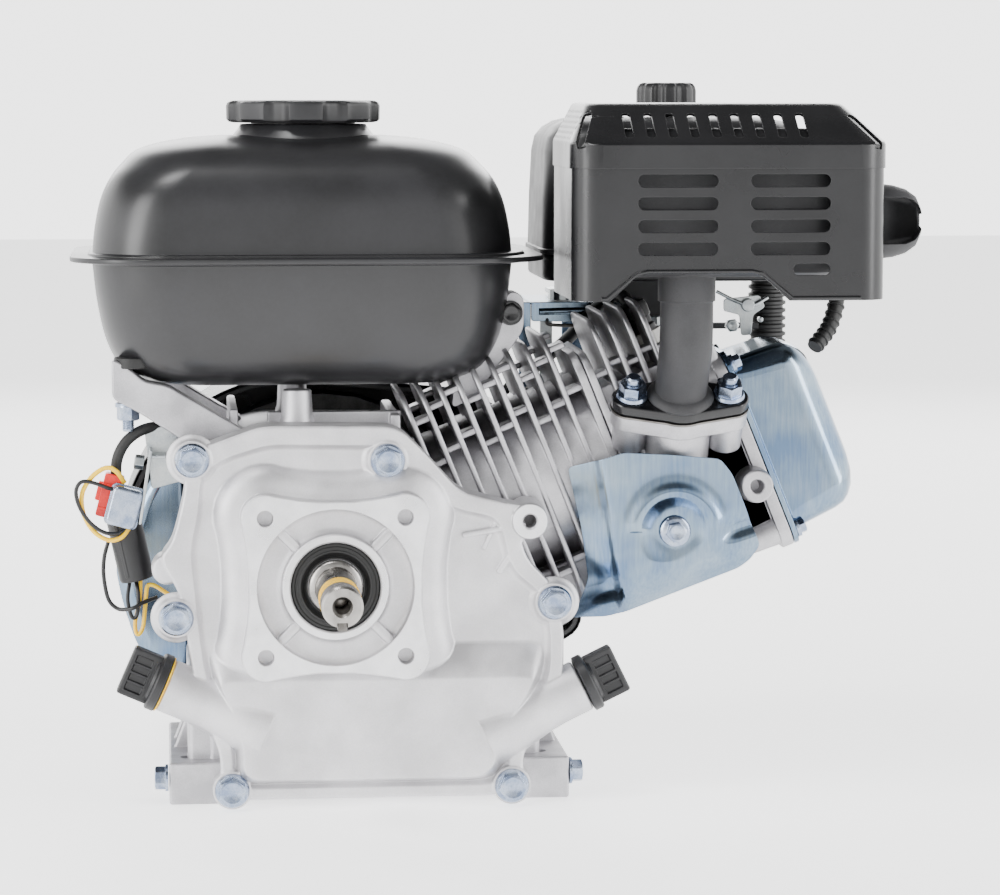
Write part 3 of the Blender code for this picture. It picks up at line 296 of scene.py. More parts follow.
# %% Mix the steel and the small colours
shaft_steel = finish("ground_shaft_steel", "#7d7a77", "#a9a6a2", 1.0, (0.22, 0.36), 0.5, 9.0, 0.005, 0.3,
                     (0.02, 1, 0.02))
dark_steel = finish("oiled_steel", "#5d5a57", "#868380", 1.0, (0.3, 0.42), 0.6, 8.0, 0.008, 0.3)
iron_grey = finish("grey_cast_iron", "#4a4a4a", "#6a6a69", 1.0, (0.45, 0.6), 0.8, 10.0, 0.04, 0.5)
yellow_paint = finish("yellow_marking_paint", "#f2b400", "#ffd000", 0.0, (0.35, 0.5), 1.5, 6.0, 0.01, 0.2)
yellow_lead = finish("yellow_pvc_lead", "#f4bc00", "#ffd60a", 0.0, (0.3, 0.4), 1.5, 8.0, 0.004, 0.2)
black_lead = finish("black_pvc_lead", "#0a0a0b", "#141416", 0.0, (0.3, 0.42), 1.5, 8.0, 0.004, 0.2)
red_plastic = finish("red_nylon", "#d0100a", "#f02014", 0.0, (0.3, 0.42), 0.8, 8.0, 0.008, 0.3)
filter_foam = finish("grey_filter_foam", "#343532", "#55564f", 0.0, (0.9, 1.0), 1.2, 12.0, 0.5, 0.3)
ceramic = finish("white_plug_ceramic", "#dedcd6", "#f2f0ea", 0.0, (0.12, 0.2), 1.0, 8.0, 0.003, 0.3)
print("materials so far:", len(bpy.data.materials))

# %% [markdown]
# ## Driving dimensions
#
# The finished pieces sit on the same dimensions as the frame: the shaft stands 106 mm above the
# base, and the cylinder leans 22 degrees from level. A point on the cylinder is given by u along
# the bore, v across it, and y back.

# %% Set the dimensions and the frames
INCLINE = math.radians(22.0)
BOLT_PATTERN = 32.56
COVER_BOLTS = ((-66, 165), (25, 164), (103.5, 96), (83.3, 9), (-48.6, 9), (-74, 91))
LUG = (91.8, 134.7)
TANK_X, TANK_Y, SEAM_Z, CAP_Y = -10.4, 10.0, 256.0, 15.0
MUFFLER_Y = -56.0
OUTLET_Y, OUTLET_Z = -60.0, 274.5
CLEANER_X, CLEANER_Y = 172.0, 50.0
CARB_X, CARB_Z = 169.0, 195.0
ROCKER_V, STUD_X = -23, 23
MUFFLER_X, PIPE_X, PIPE_Y = 178, 164, -76
LEFT_FOOT_X, RIGHT_FOOT_X, FOOT_SPACING_Y = -66.0, 96.0, 75.5
NECK_ENDS = (((-79.5, -58.2, 58.5), (-0.915, 0, 0.403)), ((117.5, -58.2, 55), (0.9, 0, 0.438)))


def frame_of(origin, x_axis, z_axis):
    """A frame at a point, from two axes at right angles."""
    x = Vector(x_axis).normalized()
    z = Vector(z_axis).normalized()
    matrix = Matrix((x, z.cross(x), z)).transposed().to_4x4()
    matrix.translation = Vector(origin)
    return matrix


U = Vector((math.cos(INCLINE), 0, math.sin(INCLINE)))
V = Vector((-math.sin(INCLINE), 0, math.cos(INCLINE)))
CYLINDER = frame_of((0, 0, CRANK_Z), V, U)
FRONT = frame_of((0, 0, 0), (1, 0, 0), (0, -1, 0))
UP = Matrix.Identity(4)
PORT = frame_of((164.5, -52, 187), (1, 0, 0), (0, -0.5, 0.866))


def shaft_frame(x, z):
    """Local z runs forward, out of the output side."""
    return frame_of((x, 0, z), (1, 0, 0), (0, -1, 0))


def upright(x, y):
    return Matrix.Translation((x, y, 0))


def aimed(origin, direction):
    """Local z runs from a point along a direction."""
    z = Vector(direction).normalized()
    side = Vector((0, 1, 0)) if abs(z.y) < 0.9 else Vector((1, 0, 0))
    return frame_of(origin, side.cross(z), z)


def cylinder_point(u, v, y):
    return Vector((0, 0, CRANK_Z)) + U * u + V * v + Vector((0, y, 0))


print("spark plug side of the head at:", [round(c) for c in cylinder_point(184, 34, 0)])

# %% [markdown]
# ## Outlines
#
# Castings and pressings start as outlines. A drawing gives sharp corner points, and a radius then
# softens each corner, which is what a pattern maker does. An outline moved inwards by some
# millimetres gives the step inside a rim.

# %% Define the outline helpers
def arc(centre, radius, start, end, steps):
    """Points along an arc, with its angles in degrees."""
    angles = [math.radians(start + (end - start) * i / steps) for i in range(steps + 1)]
    return [(centre[0] + radius * math.cos(a), centre[1] + radius * math.sin(a)) for a in angles]


def rounded(centre, half_x, half_y, radius, steps=6):
    """A rectangle with round corners."""
    points = []
    for quarter, (sx, sy) in enumerate(((1, 1), (-1, 1), (-1, -1), (1, -1))):
        corner = (centre[0] + sx * (half_x - radius), centre[1] + sy * (half_y - radius))
        points += arc(corner, radius, 90 * quarter, 90 * quarter + 90, steps)
    return points


def soften(outline, radius, steps=4):
    """Every corner replaced by a curve that starts at most `radius` before it."""
    points = []
    count = len(outline)
    for i in range(count):
        before, here, after = (Vector(outline[(i + k) % count]) for k in (-1, 0, 1))
        first = here + (before - here).normalized() * min(radius, (before - here).length * 0.45)
        last = here + (after - here).normalized() * min(radius, (after - here).length * 0.45)
        for step in range(steps + 1):
            t = step / steps
            points.append(tuple(first * (1 - t) ** 2 + here * 2 * t * (1 - t) + last * t * t))
    return points


def offset(outline, distance):
    """The outline moved outwards by a distance, with its corners kept sharp."""
    count = len(outline)
    area = sum(outline[i - 1][0] * outline[i][1] - outline[i][0] * outline[i - 1][1] for i in range(count))
    turn = 1 if area > 0 else -1
    moved = []
    for i in range(count):
        before, here, after = (Vector(outline[(i + k) % count]) for k in (-1, 0, 1))
        first = (here - before).normalized()
        second = (after - here).normalized()
        normal_1 = Vector((first.y, -first.x)) * turn
        normal_2 = Vector((second.y, -second.x)) * turn
        mean = normal_1 + normal_2
        moved.append(tuple(here + mean * (distance / max(1 + normal_1.dot(normal_2), 0.2))))
    return moved


def smooth_route(points, steps=6):
    """A curve through the points, which may hold any number of values each."""
    places = [Vector(p) for p in points]
    places = [places[0] * 2 - places[1], *places, places[-1] * 2 - places[-2]]
    route = []
    for a, b, c, d in zip(places, places[1:], places[2:], places[3:]):
        for i in range(steps):
            t = i / steps
            route.append(0.5 * (2 * b + (c - a) * t + (2 * a - 5 * b + 4 * c - d) * t * t
                                + (3 * b - a - 3 * c + d) * t ** 3))
    route.append(places[-2])
    return route


print("points on a softened square:", len(soften([(0, 0), (9, 0), (9, 9), (0, 9)], 2)))

# %% [markdown]
# ## Shapes
#
# Three operations make nearly every engine part: an outline is extruded, a profile is turned, or
# several outlines are bridged into a loft. Each helper returns one closed bmesh with its faces
# turned outwards, and rounds its own sharp edges with a bevel, because a real edge always catches a
# thin line of light.

# %% Define the shape helpers
def round_edges(bm, radius, segments=2, sharper_than=32.0):
    """Bevels the edges whose faces meet at more than some degrees."""
    if radius:
        limit = math.radians(sharper_than)
        sharp = [edge for edge in bm.edges
                 if len(edge.link_faces) == 2 and edge.calc_face_angle(0.0) > limit]
        bmesh.ops.bevel(bm, geom=sharp, offset=radius, offset_type="OFFSET", segments=segments, profile=0.5,
                        affect="EDGES", clamp_overlap=True, material=-1)


def placed(bm, matrix):
    """Merges doubles, turns the faces outwards, and puts the shape in its frame."""
    bmesh.ops.remove_doubles(bm, verts=bm.verts, dist=1e-4)
    bmesh.ops.transform(bm, matrix=matrix, verts=bm.verts)
    bmesh.ops.recalc_face_normals(bm, faces=bm.faces)
    return bm


def extruded(outline, low, high, matrix=FRONT, edge=0.0, segments=2):
    """An outline extruded along its frame's z."""
    bm = bmesh.new()
    face = bm.faces.new([bm.verts.new((x, y, low)) for x, y in outline])
    made = bmesh.ops.extrude_face_region(bm, geom=[face])
    raised = [item for item in made["geom"] if isinstance(item, bmesh.types.BMVert)]
    bmesh.ops.translate(bm, verts=raised, vec=(0, 0, high - low))
    bmesh.ops.recalc_face_normals(bm, faces=bm.faces)
    round_edges(bm, edge, segments)
    return placed(bm, matrix)


def plate(outline, front, back, edge=0.0, segments=2):
    """An (X, Z) outline between its front Y and its back Y."""
    return extruded(outline, -back, -front, FRONT, edge, segments)


def box(low, high, edge=0.0, segments=2, matrix=UP):
    corners = [(low[0], low[1]), (high[0], low[1]), (high[0], high[1]), (low[0], high[1])]
    return extruded(corners, low[2], high[2], matrix, edge, segments)


def turned(profile, matrix, steps=48, edge=0.0, segments=2, closed=False):
    """A profile of (radius, z) pairs, turned about its frame's z."""
    bm = bmesh.new()
    verts = [bm.verts.new((radius, 0, z)) for radius, z in profile]
    pairs = list(zip(verts, verts[1:]))
    if closed:
        pairs.append((verts[-1], verts[0]))
    edges = [bm.edges.new(pair) for pair in pairs]
    bmesh.ops.spin(bm, geom=verts + edges, cent=(0, 0, 0), axis=(0, 0, 1), dvec=(0, 0, 0), angle=math.tau,
                   steps=steps, use_merge=True, use_duplicate=False)
    bmesh.ops.remove_doubles(bm, verts=bm.verts, dist=1e-4)
    bmesh.ops.recalc_face_normals(bm, faces=bm.faces)
    round_edges(bm, edge, segments)
    return placed(bm, matrix)


def cylinder(radius, low, high, matrix, steps=40, edge=0.0, segments=2):
    return turned([(0, low), (radius, low), (radius, high), (0, high)], matrix, steps, edge, segments)


def ring(outer, inner, low, high, matrix, steps=48, edge=0.0):
    corners = [(inner, low), (outer, low), (outer, high), (inner, high)]
    return turned(corners, matrix, steps, edge, closed=True)


def lofted(levels, matrix=UP, edge=0.0):
    """Closed outlines with equal point counts, each at its own height, bridged and capped."""
    bm = bmesh.new()
    loops = []
    for z, outline in levels:
        verts = [bm.verts.new((x, y, z)) for x, y in outline]
        loops.append([bm.edges.new((verts[i - 1], verts[i])) for i in range(len(verts))])
    for lower, upper in zip(loops, loops[1:]):
        bmesh.ops.bridge_loops(bm, edges=lower + upper)
    for loop in (loops[0], loops[-1]):
        bmesh.ops.contextual_create(bm, geom=loop)
    bmesh.ops.recalc_face_normals(bm, faces=bm.faces)
    round_edges(bm, edge)
    return placed(bm, matrix)


def stacked(levels, centre, steps, matrix=UP):
    """A loft through round-cornered rectangles, each given as z, half x, half y and radius."""
    return lofted([(z, rounded(centre, x, y, r, steps)) for z, x, y, r in levels], matrix)


def swept(points, radius, sides=16, smooth=6):
    """A round rod along a smooth route, with flat ends."""
    route = smooth_route(points, smooth) if smooth else [Vector(p) for p in points]
    bm = bmesh.new()
    loops = []
    side = None
    for i, place in enumerate(route):
        ahead = route[min(i + 1, len(route) - 1)] - route[max(i - 1, 0)]
        if side is None:
            side = ahead.orthogonal()
        side = (side - ahead * side.dot(ahead) / ahead.length_squared).normalized()
        made = bmesh.ops.create_circle(bm, segments=sides, radius=radius,
                                       matrix=frame_of(place, side, ahead))
        loops.append(list({edge for vert in made["verts"] for edge in vert.link_edges}))
    for lower, upper in zip(loops, loops[1:]):
        bmesh.ops.bridge_loops(bm, edges=lower + upper)
    for loop in (loops[0], loops[-1]):
        bmesh.ops.contextual_create(bm, geom=loop)
    return placed(bm, UP)


print("faces on a test disc:", len(cylinder(5, 0, 2, UP, 12, 0.3).faces))

# %% [markdown]
# ## Cutting and joining
#
# Slots and holes are cut with Booleans, as a press or a drill would, and a small bevel then rounds
# what the cut left. Shapes that a casting blends together are simply laid into one mesh, and the
# shading rounds where they meet. A piece is linked in metres, rides on its moving body, and hides
# the plain solid that it stands for.

# %% Define the cutting and piece helpers
def loose(bm):
    """A bmesh as an object that Booleans can use."""
    mesh = bpy.data.meshes.new("tool")
    bm.to_mesh(mesh)
    bm.free()
    made = bpy.data.objects.new("tool", mesh)
    bpy.context.scene.collection.objects.link(made)
    return made


def carved(shape, tools, edge=0.0, operation="DIFFERENCE"):
    """The shape with the tools cut out, or joined on, and its edges rounded."""
    target = loose(shape)
    cutters = [loose(tool) for tool in tools]
    for cutter in cutters:
        modifier = target.modifiers.new("cut", "BOOLEAN")
        modifier.operation = operation
        modifier.solver = "EXACT"
        modifier.object = cutter
    if edge:
        modifier = target.modifiers.new("edge", "BEVEL")
        modifier.width = edge
        modifier.segments = 2
        modifier.limit_method = "ANGLE"
        modifier.angle_limit = math.radians(40)
    graph = bpy.context.evaluated_depsgraph_get()
    bm = bmesh.new()
    bm.from_mesh(target.evaluated_get(graph).to_mesh())
    for item in (target, *cutters):
        bpy.data.objects.remove(item, do_unlink=True)
    return bm


def marked(bm, index, where):
    """Gives the faces that pass a test another of the piece's finishes."""
    bm.normal_update()
    for face in bm.faces:
        if where(face):
            face.material_index = index
    return bm


def faces_front(y):
    """A test for faces that look forward and lie at or beyond a depth."""
    return lambda face: face.normal.y < -0.98 and face.calc_center_median().y < y + 0.05


def piece(name, shapes, finishes, body="engine", replaces=(), sharp=38.0):
    """One linked object made of closed shapes, with one or more finishes."""
    whole = bmesh.new()
    for shape in shapes:
        part = bpy.data.meshes.new("part")
        shape.to_mesh(part)
        shape.free()
        whole.from_mesh(part)
        bpy.data.meshes.remove(part)
    bmesh.ops.scale(whole, vec=(MM, MM, MM), verts=whole.verts)
    mesh = bpy.data.meshes.new(name)
    whole.to_mesh(mesh)
    whole.free()
    for finish in (finishes if isinstance(finishes, (list, tuple)) else [finishes]):
        mesh.materials.append(finish)
    mesh.shade_smooth()
    mesh.set_sharp_from_angle(angle=math.radians(sharp))
    made = bpy.data.objects.new(name, mesh)
    bpy.context.scene.collection.objects.link(made)
    even = made.modifiers.new("even_faces", "WEIGHTED_NORMAL")
    even.keep_sharp = True
    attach(made, body)
    if replaces:
        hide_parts(*replaces)
    print(f"{name}: {len(mesh.polygons)} faces on {body}")
    return made


# %% [markdown]
# ## Side cover
#
# The cover closes the crankcase and carries the front bearing and the pump flange. On the real
# casting a rim runs round the edge, the floor inside it is sunk, and a pedestal swells up to a
# milled pad with four lobes. It is built as a plate with a pocket cut from it, a lofted belly and
# pedestal on the pocket's floor, then bosses, ribs and necks.

# %% Model the side cover
COVER = [(-54, 4), (78, 4), (90, 9), (88, 24), (99, 36), (108, 62), (108, 84), (103, 104), (90, 117),
         (84, 143), (59, 149), (45, 165), (30, 180), (-33, 181), (-56, 173), (-72, 166), (-69, 154),
         (-73, 136), (-76, 126), (-82, 119), (-72, 102), (-69, 80), (-66, 62), (-58, 36), (-54, 26)]
POCKET = [(-49, 9), (74, 9), (83, 15), (83, 28), (93, 40), (102.5, 63), (102.5, 83), (98, 101), (84, 112),
          (78, 137), (55, 142), (39, 157), (25, 171.5), (-31, 172.5), (-52, 166), (-63, 158), (-64, 140),
          (-68, 122), (-66, 104), (-64, 82), (-61, 62), (-52, 38), (-49, 28)]
BELLY = [(-47, 11), (73, 11), (80, 17), (80, 30), (90, 42), (99, 62), (99.5, 78), (-60, 78), (-58, 62),
         (-50, 39), (-47, 28)]
BELLY_TOP = [(-43, 15), (69, 15), (75, 21), (75, 33), (85, 46), (92, 58), (93, 61), (-54, 61), (-52, 56),
             (-45, 41), (-43, 30)]


def between(first, second, share):
    return [(a + (c - a) * share, b + (d - b) * share) for (a, b), (c, d) in zip(first, second)]


def flange_outline(grow=0.0, waist=40.7):
    """The mounting pad: four round lobes about the bolt holes, with a waist on each side."""
    points = []
    for quarter in range(4):
        turn = math.radians(90 * quarter)
        cos, sin = round(math.cos(turn)), round(math.sin(turn))
        lobe = arc((BOLT_PATTERN, BOLT_PATTERN), 11.5 + grow, -22, 112, 10)
        dip = [(17, waist + 0.6 + grow), (8, waist - 0.3 + grow), (-8, waist - 0.3 + grow),
               (-17, waist + 0.6 + grow)]
        points += [(x * cos - y * sin, x * sin + y * cos) for x, y in lobe + dip]
    return points


def rib(start, end, width, low, high, edge=1.0):
    """A straight rib between two (X, Z) points, with its height along the shaft."""
    way = (Vector(end) - Vector(start)).normalized() * (width / 2)
    side = Vector((-way.y, way.x))
    corners = [Vector(start) - side, Vector(end) - side, Vector(end) + side, Vector(start) + side]
    return extruded([tuple(c) for c in corners], low, high, FRONT, edge)


plate_shape = plate(soften(COVER, 7), -66, -45.4, 1.6, 3)
pocket = lofted([(62.8, soften(offset(POCKET, -4), 7)), (63.4, soften(offset(POCKET, -2.2), 7)),
                 (66.6, soften(POCKET, 7))], FRONT)
shell = carved(plate_shape, [pocket], 0.5)
levels = [(62, 0), (69, 0.55), (71.2, 0.8), (72.2, 0.92), (72.6, 1)]
belly = lofted([(z, soften(between(BELLY, BELLY_TOP, t), 9, 5)) for z, t in levels], FRONT)
axis = shaft_frame(0, CRANK_Z)
steps = [(62, 13), (65, 11.5), (67.4, 9.5), (69, 7), (70, 4), (70.6, 1), (71.2, 0.2)]
pedestal = lofted([(z, flange_outline(grow)) for z, grow in steps], axis)
pad = extruded(flange_outline(), 66, 78, axis, 0.8)
holes = [cylinder(3.7, 68, 80, shaft_frame(x, CRANK_Z + z), 24)
         for x in (-BOLT_PATTERN, BOLT_PATTERN) for z in (-BOLT_PATTERN, BOLT_PATTERN)]
pad = carved(pad, [cylinder(36.5, 60, 80, axis, 64), *holes], 0.4)
pad = marked(pad, 1, faces_front(-77.9))
recess = turned([(36.6, 66), (36.6, 73.4), (35.6, 72.2), (33.6, 71.6), (28, 71.6), (25.6, 73), (25, 74.4),
                 (25, 76.4), (24.4, 77), (21.6, 77), (20.9, 76.4), (20.9, 66)], axis, 64, closed=True)
recess = marked(recess, 1, faces_front(-76.9))
shapes = [shell, belly, pedestal, pad, recess]
for quarter in range(4):
    turn = math.radians(45 + 90 * quarter)
    way = Vector((math.cos(turn), math.sin(turn)))
    middle = Vector((0, CRANK_Z))
    shapes.append(rib(middle + way * 24.6, middle + way * 37, 5, 68, 75.2, 1.8))
for x, z in COVER_BOLTS:
    reach = min(12.0, z + 0.1)
    shapes.append(turned([(0, 46), (min(reach, 9.5), 46), (min(reach, 9.5), 60), (reach, 63),
                          (min(reach, 10.4), 64), (min(reach, 9.6), 65.4), (min(reach, 9.2), 66.4),
                          (8.8, 66.8), (0, 66.8)], shaft_frame(x, z), 40))
lug = turned([(3.2, 56), (3.2, 66.6), (4, 67.4), (8, 67.4), (8.6, 66.6), (9, 60), (9.6, 46), (0, 46),
              (0, 56)],
             shaft_frame(*LUG), 40)
shapes.append(marked(lug, 1, faces_front(-67.3)))
shapes += [rib((56, 145), (92, 139.5), 4.5, 48, 65.6), rib((60, 128), (90, 133), 2.6, 56, 65.4),
           rib((77, 110), (91, 131), 3, 52, 65.6), rib((70, 121), (76, 134), 2.2, 56, 64.4)]
shapes.append(turned([(0, 46), (7.4, 46), (7.2, 58), (6.4, 59.6), (5, 60), (0, 60)], shaft_frame(-78, 113),
                     32))
for end, way in NECK_ENDS:
    root = Vector(end) - Vector(way).normalized() * 38
    shapes.append(turned([(9.5, 38), (9.5, 10), (0, 10), (0, -14), (17, -14), (16, -2), (14.2, 8), (13, 16),
                          (12.6, 24), (12.6, 37.2), (11.8, 38)], aimed(root, way), 40, closed=True))
piece("side_cover_casting", shapes, [cast_skin, machined_face], replaces=["side_cover"])

# %% [markdown]
# ## Cover gasket
#
# A thin paper gasket shows as a darker line between the cover and the case. It is the cover's own
# outline, a little smaller, so that it reads as a seam and not as a step.

# %% Model the gasket
piece("cover_gasket", [plate(soften(offset(COVER, -0.5), 7), -45.7, -44.8)], heat_black)

# %% [markdown]
# ## Flange bolts
#
# The bolts have a hexagon with a chamfered top on a round flange. The top is dished by the
# cold-forming die. One function turns the flange, extrudes the hexagon and cuts its corners with a
# cone, as the real die does.

# %% Model the bolts
def hexagon_head(matrix, across, low, high, turn=0.0, dish=0.6):
    """A cold-formed hexagon with chamfered corners and a dished top."""
    hexagon = extruded(arc((0, 0), across / math.sqrt(3), turn, turn + 300, 5), low, high, UP, 0.25)
    corner = across / math.sqrt(3)
    reach = across / 2
    cone = turned([(0, low - 1), (corner + 2, low - 1), (corner + 2, high - 1.4), (reach - 0.6, high),
                   (reach - 1.2, high), (reach - 2.4, high - dish), (0, high - dish)], UP, 48)
    shape = carved(hexagon, [cone], 0.0, "INTERSECT")
    return placed(shape, matrix)


def flange_bolt(matrix, across, flange, low, high, turn=0.0):
    """A flange bolt's visible part: the flange, a small cone above it, and the hexagon."""
    washer = turned([(0, low), (flange - 0.3, low), (flange, low + 0.4), (flange - 0.2, low + 1.0),
                     (across / 2 + 1.4, low + 2.0), (0, low + 2.0)], matrix, 48)
    return [washer, hexagon_head(matrix, across, low + 1, high, turn)]


for number, (x, z) in enumerate(COVER_BOLTS, 1):
    matrix = shaft_frame(x, z)
    shapes = flange_bolt(matrix, 11.6, 8.1, 67.1, 73.9, 17.0 * number)
    piece(f"cover_bolt_head_{number}", shapes, bolt_zinc, replaces=[f"cover_bolt_{number}"])

# %% [markdown]
# ## Output shaft and seal
#
# The crankshaft leaves the cover through a lip seal and steps down from 25 mm to 19.05 mm (3/4 in).
# A keyway runs along its underside and a tapped hole is in its end. The frame's shaft has the right
# steps, so it is turned again with ground corners, its key, a yellow paint band, and a lip seal
# with its moulded rings.

# %% Model the shaft and the seal
journal = turned([(0, 60), (12.4, 60), (12.4, 77.2), (11.6, 78), (9.9, 78.4), (9.5, 79.2), (9.5, 137.8),
                  (8.5, 138.9), (4.8, 138.9), (3.4, 137.2), (3.4, 116), (0, 114)], axis, 64)
journal = carved(journal, [box((-2.4, -12, 96), (2.4, -7.1, 150), 0, 1, axis)], 0.25)
piece("output_shaft", [journal], shaft_steel, "crank", ["crankshaft_front"])
key = extruded(rounded((0, -9.1), 2.1, 2.0, 0.4, 2), 97, 137.5, axis, 0.3)
piece("output_shaft_key", [key], dark_steel, "crank", ["shaft_key"])
bands = [ring(9.62, 9.3, low, low + width, axis, 64)
         for low, width in ((110, 4.2), (115.2, 5.6), (122, 2.0))]
piece("shaft_marking_band", bands, yellow_paint, "crank")
profile = [(13.1, 69), (20.7, 69), (20.7, 75.2), (20.2, 75.6), (19.2, 75.6), (18.8, 75.1), (17.4, 75.1),
           (17, 75.5), (16.2, 75.5), (15.4, 74.4), (14.4, 73.4), (13.6, 74.6), (13.1, 74.6)]
piece("lip_seal", [turned(profile, axis, 64, closed=True)], rubber_black,
      replaces=["oil_seal"])

# %% [markdown]
# ## Dipsticks
#
# The two oil fillers are closed by moulded caps with a flat T-shaped grip, which has a hollow in
# each side. The left cap sits on a yellow gasket. The stick itself hangs into the neck.

# %% Model the dipsticks
for (end, way), name in zip(NECK_ENDS, ("dipstick_left", "dipstick_right")):
    matrix = aimed(end, way)
    collar = turned([(0, 0.4), (12.4, 0.4), (13.9, 1), (13.9, 4.6), (13.2, 5.4), (10.4, 5.8), (9.6, 7.2),
                     (0, 7.4)], matrix, 48)
    grip = box((-11.8, -4, 5), (11.8, 4, 19.9), 1.2, 3, matrix)
    hollows = [box((-8.8, side * 4 - 1.4, 9), (8.8, side * 4 + 1.4, 17.4), 0.6, 2, matrix)
               for side in (-1, 1)]
    grip = carved(grip, hollows, 0.3)
    ribs = [box((-0.6 + x, -3.9, 8.6), (0.6 + x, 3.9, 17.6), 0.2, 1, matrix) for x in (-4.4, 0, 4.4)]
    stick = turned([(0, -52), (1.9, -51), (1.9, -12), (8.6, -10), (8.6, 0.5), (0, 0.6)], matrix, 24)
    piece(f"{name}_cap", [collar, grip, *ribs, stick], moulded_black, f"{name}_body",
          [name])
gasket = ring(13.4, 9.2, -0.1, 0.5, aimed(*NECK_ENDS[0]), 48)
piece("dipstick_gasket", [gasket], yellow_paint, "dipstick_left_body")

# %% [markdown]
# ## Drain plugs
#
# A hexagon plug with a sealing washer closes each end of the sump, low on the two feet.

# %% Model the drain plugs
for side, x, name in ((-1, LEFT_FOOT_X - 12, "drain_plug_left"), (1, RIGHT_FOOT_X + 16, "drain_plug_right")):
    matrix = aimed((x, -48, 12), (side, 0, 0))
    washer = cylinder(6.4, 0.4, 1.9, matrix, 40, 0.3)
    head = hexagon_head(matrix, 9.6, 1.6, 6.9, 10, 0.3)
    piece(f"{name}_head", [washer, head], bolt_zinc, replaces=[name])

# %% [markdown]
# ## Crankcase and cylinder
#
# The case, the cylinder barrel, the feet and the tank's arms are one casting. It is laid together
# from the shapes that the mould has: an extruded case, a turned barrel, thin fins with round
# corners, webs that tie the fins, feet with slots, and arms that carry the tank. Real fins thin
# towards their tips; here each is an extruded slab of even thickness with bevelled edges.

# %% Model the crankcase
CASE = [(-60, 0), (84, 0), (88, 22), (100, 44), (104, 70), (104, 88), (96, 104), (86, 116), (84, 142),
        (58, 148), (44, 164), (31, 177), (-30, 178), (-52, 173), (-72, 166), (-68, 140), (-70, 104),
        (-66, 60), (-58, 30)]


def fin(start, half_v, half_f, radius, middle=4.0, thickness=2.6):
    """A cooling fin across the cylinder, of even thickness, with rounded edges."""
    outline = rounded((middle, 0), half_v, half_f, radius, 5)
    return extruded(outline, start, start + thickness, CYLINDER, 0.9, 3)


def web(u_low, u_high, v, f_low, f_high, width=3.0):
    """A short wall that ties neighbouring fins."""
    return box((v - width / 2, f_low, u_low), (v + width / 2, f_high, u_high), 1.0, 2, CYLINDER)


case_shapes = [plate(soften(CASE, 8), -44.9, 50, 2.0, 3)]
case_shapes.append(turned([(0, 40), (42, 40), (42, 147), (34.2, 147.6), (0, 147.6)], CYLINDER, 64))
case_shapes.append(box((-62, -27, 41), (-39, 27, 146.5), 3.0, 3, CYLINDER))
case_shapes.append(extruded(rounded((-3, 0), 58, 43, 14), 144, 148, CYLINDER, 0.7))
fin_starts = [62 + 9 * number for number in range(9)]
for number, start in enumerate(fin_starts):
    case_shapes.append(fin(start, 64 - 0.6 * (number % 2), 43.4 - 0.5 * (number % 3), 16))
for number, start in enumerate(fin_starts):
    shift = 4.0 * (number % 3)
    for v in (-46, -22, 4, 30, 52):
        case_shapes.append(web(start + 1.2, start + 10.2, v + shift, 24, 37.5 - 2.5 * (number % 2)))
        case_shapes.append(web(start + 1.2, start + 10.2, v + shift, -37.5, -24))
feet = []
for low, high in ((LEFT_FOOT_X - 12, LEFT_FOOT_X + 13), (RIGHT_FOOT_X - 10, RIGHT_FOOT_X + 16)):
    middle = (LEFT_FOOT_X if low < 0 else RIGHT_FOOT_X)
    slots = [extruded(rounded((middle, y), 6.5, 4.3, 4.2, 8), -1, 22, UP)
             for y in (-FOOT_SPACING_Y / 2, FOOT_SPACING_Y / 2)]
    feet.append(carved(box((low, -54, 0), (high, 54, 20), 1.0, 2), slots, 0.5))
case_shapes += feet
case_shapes += [box((-69, -44, 12), (-50, 50, 62), 3.0, 3), box((84, -44, 12), (99, 50, 62), 3.0, 3)]
case_shapes += [plate([(-76, 18), (-58, 18), (-58, 46), (-66, 44)], y, y + 6, 1.0) for y in (-14, 10)]
case_shapes += [plate([(92, 18), (110, 18), (104, 40), (92, 46)], y, y + 6, 1.0) for y in (-14, 10)]
ARM = [(-103, 211), (-97, 208), (-88, 200), (-77, 198), (-40, 176), (-58, 160), (-70, 172), (-90, 185),
       (-103, 192)]
ARM_FACE = [(-101, 206), (-86, 196), (-45, 175), (-58, 164), (-71, 175), (-90, 188), (-101, 194)]
for front in (-44, 22):
    arm = plate(soften(ARM, 3), front, front + 14, 1.0)
    hollow = plate(soften(offset(ARM_FACE, -3.5), 3), front + 4, front + 20)
    case_shapes.append(carved(arm, [hollow], 0.5))
for y in (-33, 30):
    case_shapes.append(turned([(0, 160), (12, 160), (11, 172), (7.6, 182), (6.9, 194), (6.4, 194.8),
                               (0, 194.8)],
                              upright(-16, y), 32))
case_shapes += [box((-48, -38, 168), (-44, 40, 186), 1.2, 2), box((-30, -30, 168), (34, -26, 184), 1.2, 2),
                box((28, -40, 166), (33, 40, 183), 1.2, 2)]
case_shapes.append(turned([(0, -60), (32, -60), (33, -58), (33, -49), (0, -49)], axis, 64))
piece("crankcase_casting", case_shapes, shaded_cast_skin, replaces=["crankcase"])

# %% [markdown]
# ## Cylinder head
#
# The head carries the last fins, the exhaust and intake ports and the rocker box. On the engine its
# fins are taller in front, where they meet the exhaust port; here they are all one size. A web ties
# them beside the port. Two lugs carry screws, one for a shroud and one under the heat deflector;
# only the first is drilled here.

# %% Model the cylinder head
def port_outline(grow=0.0, end=10.0, middle=16.0):
    """An oval about two studs 46 mm apart."""
    return (arc((STUD_X, 0), end + grow, -62, 62, 10) + arc((0, 0), middle + grow, 62, 118, 8)
            + arc((-STUD_X, 0), end + grow, 118, 242, 10) + arc((0, 0), middle + grow, 242, 298, 8))


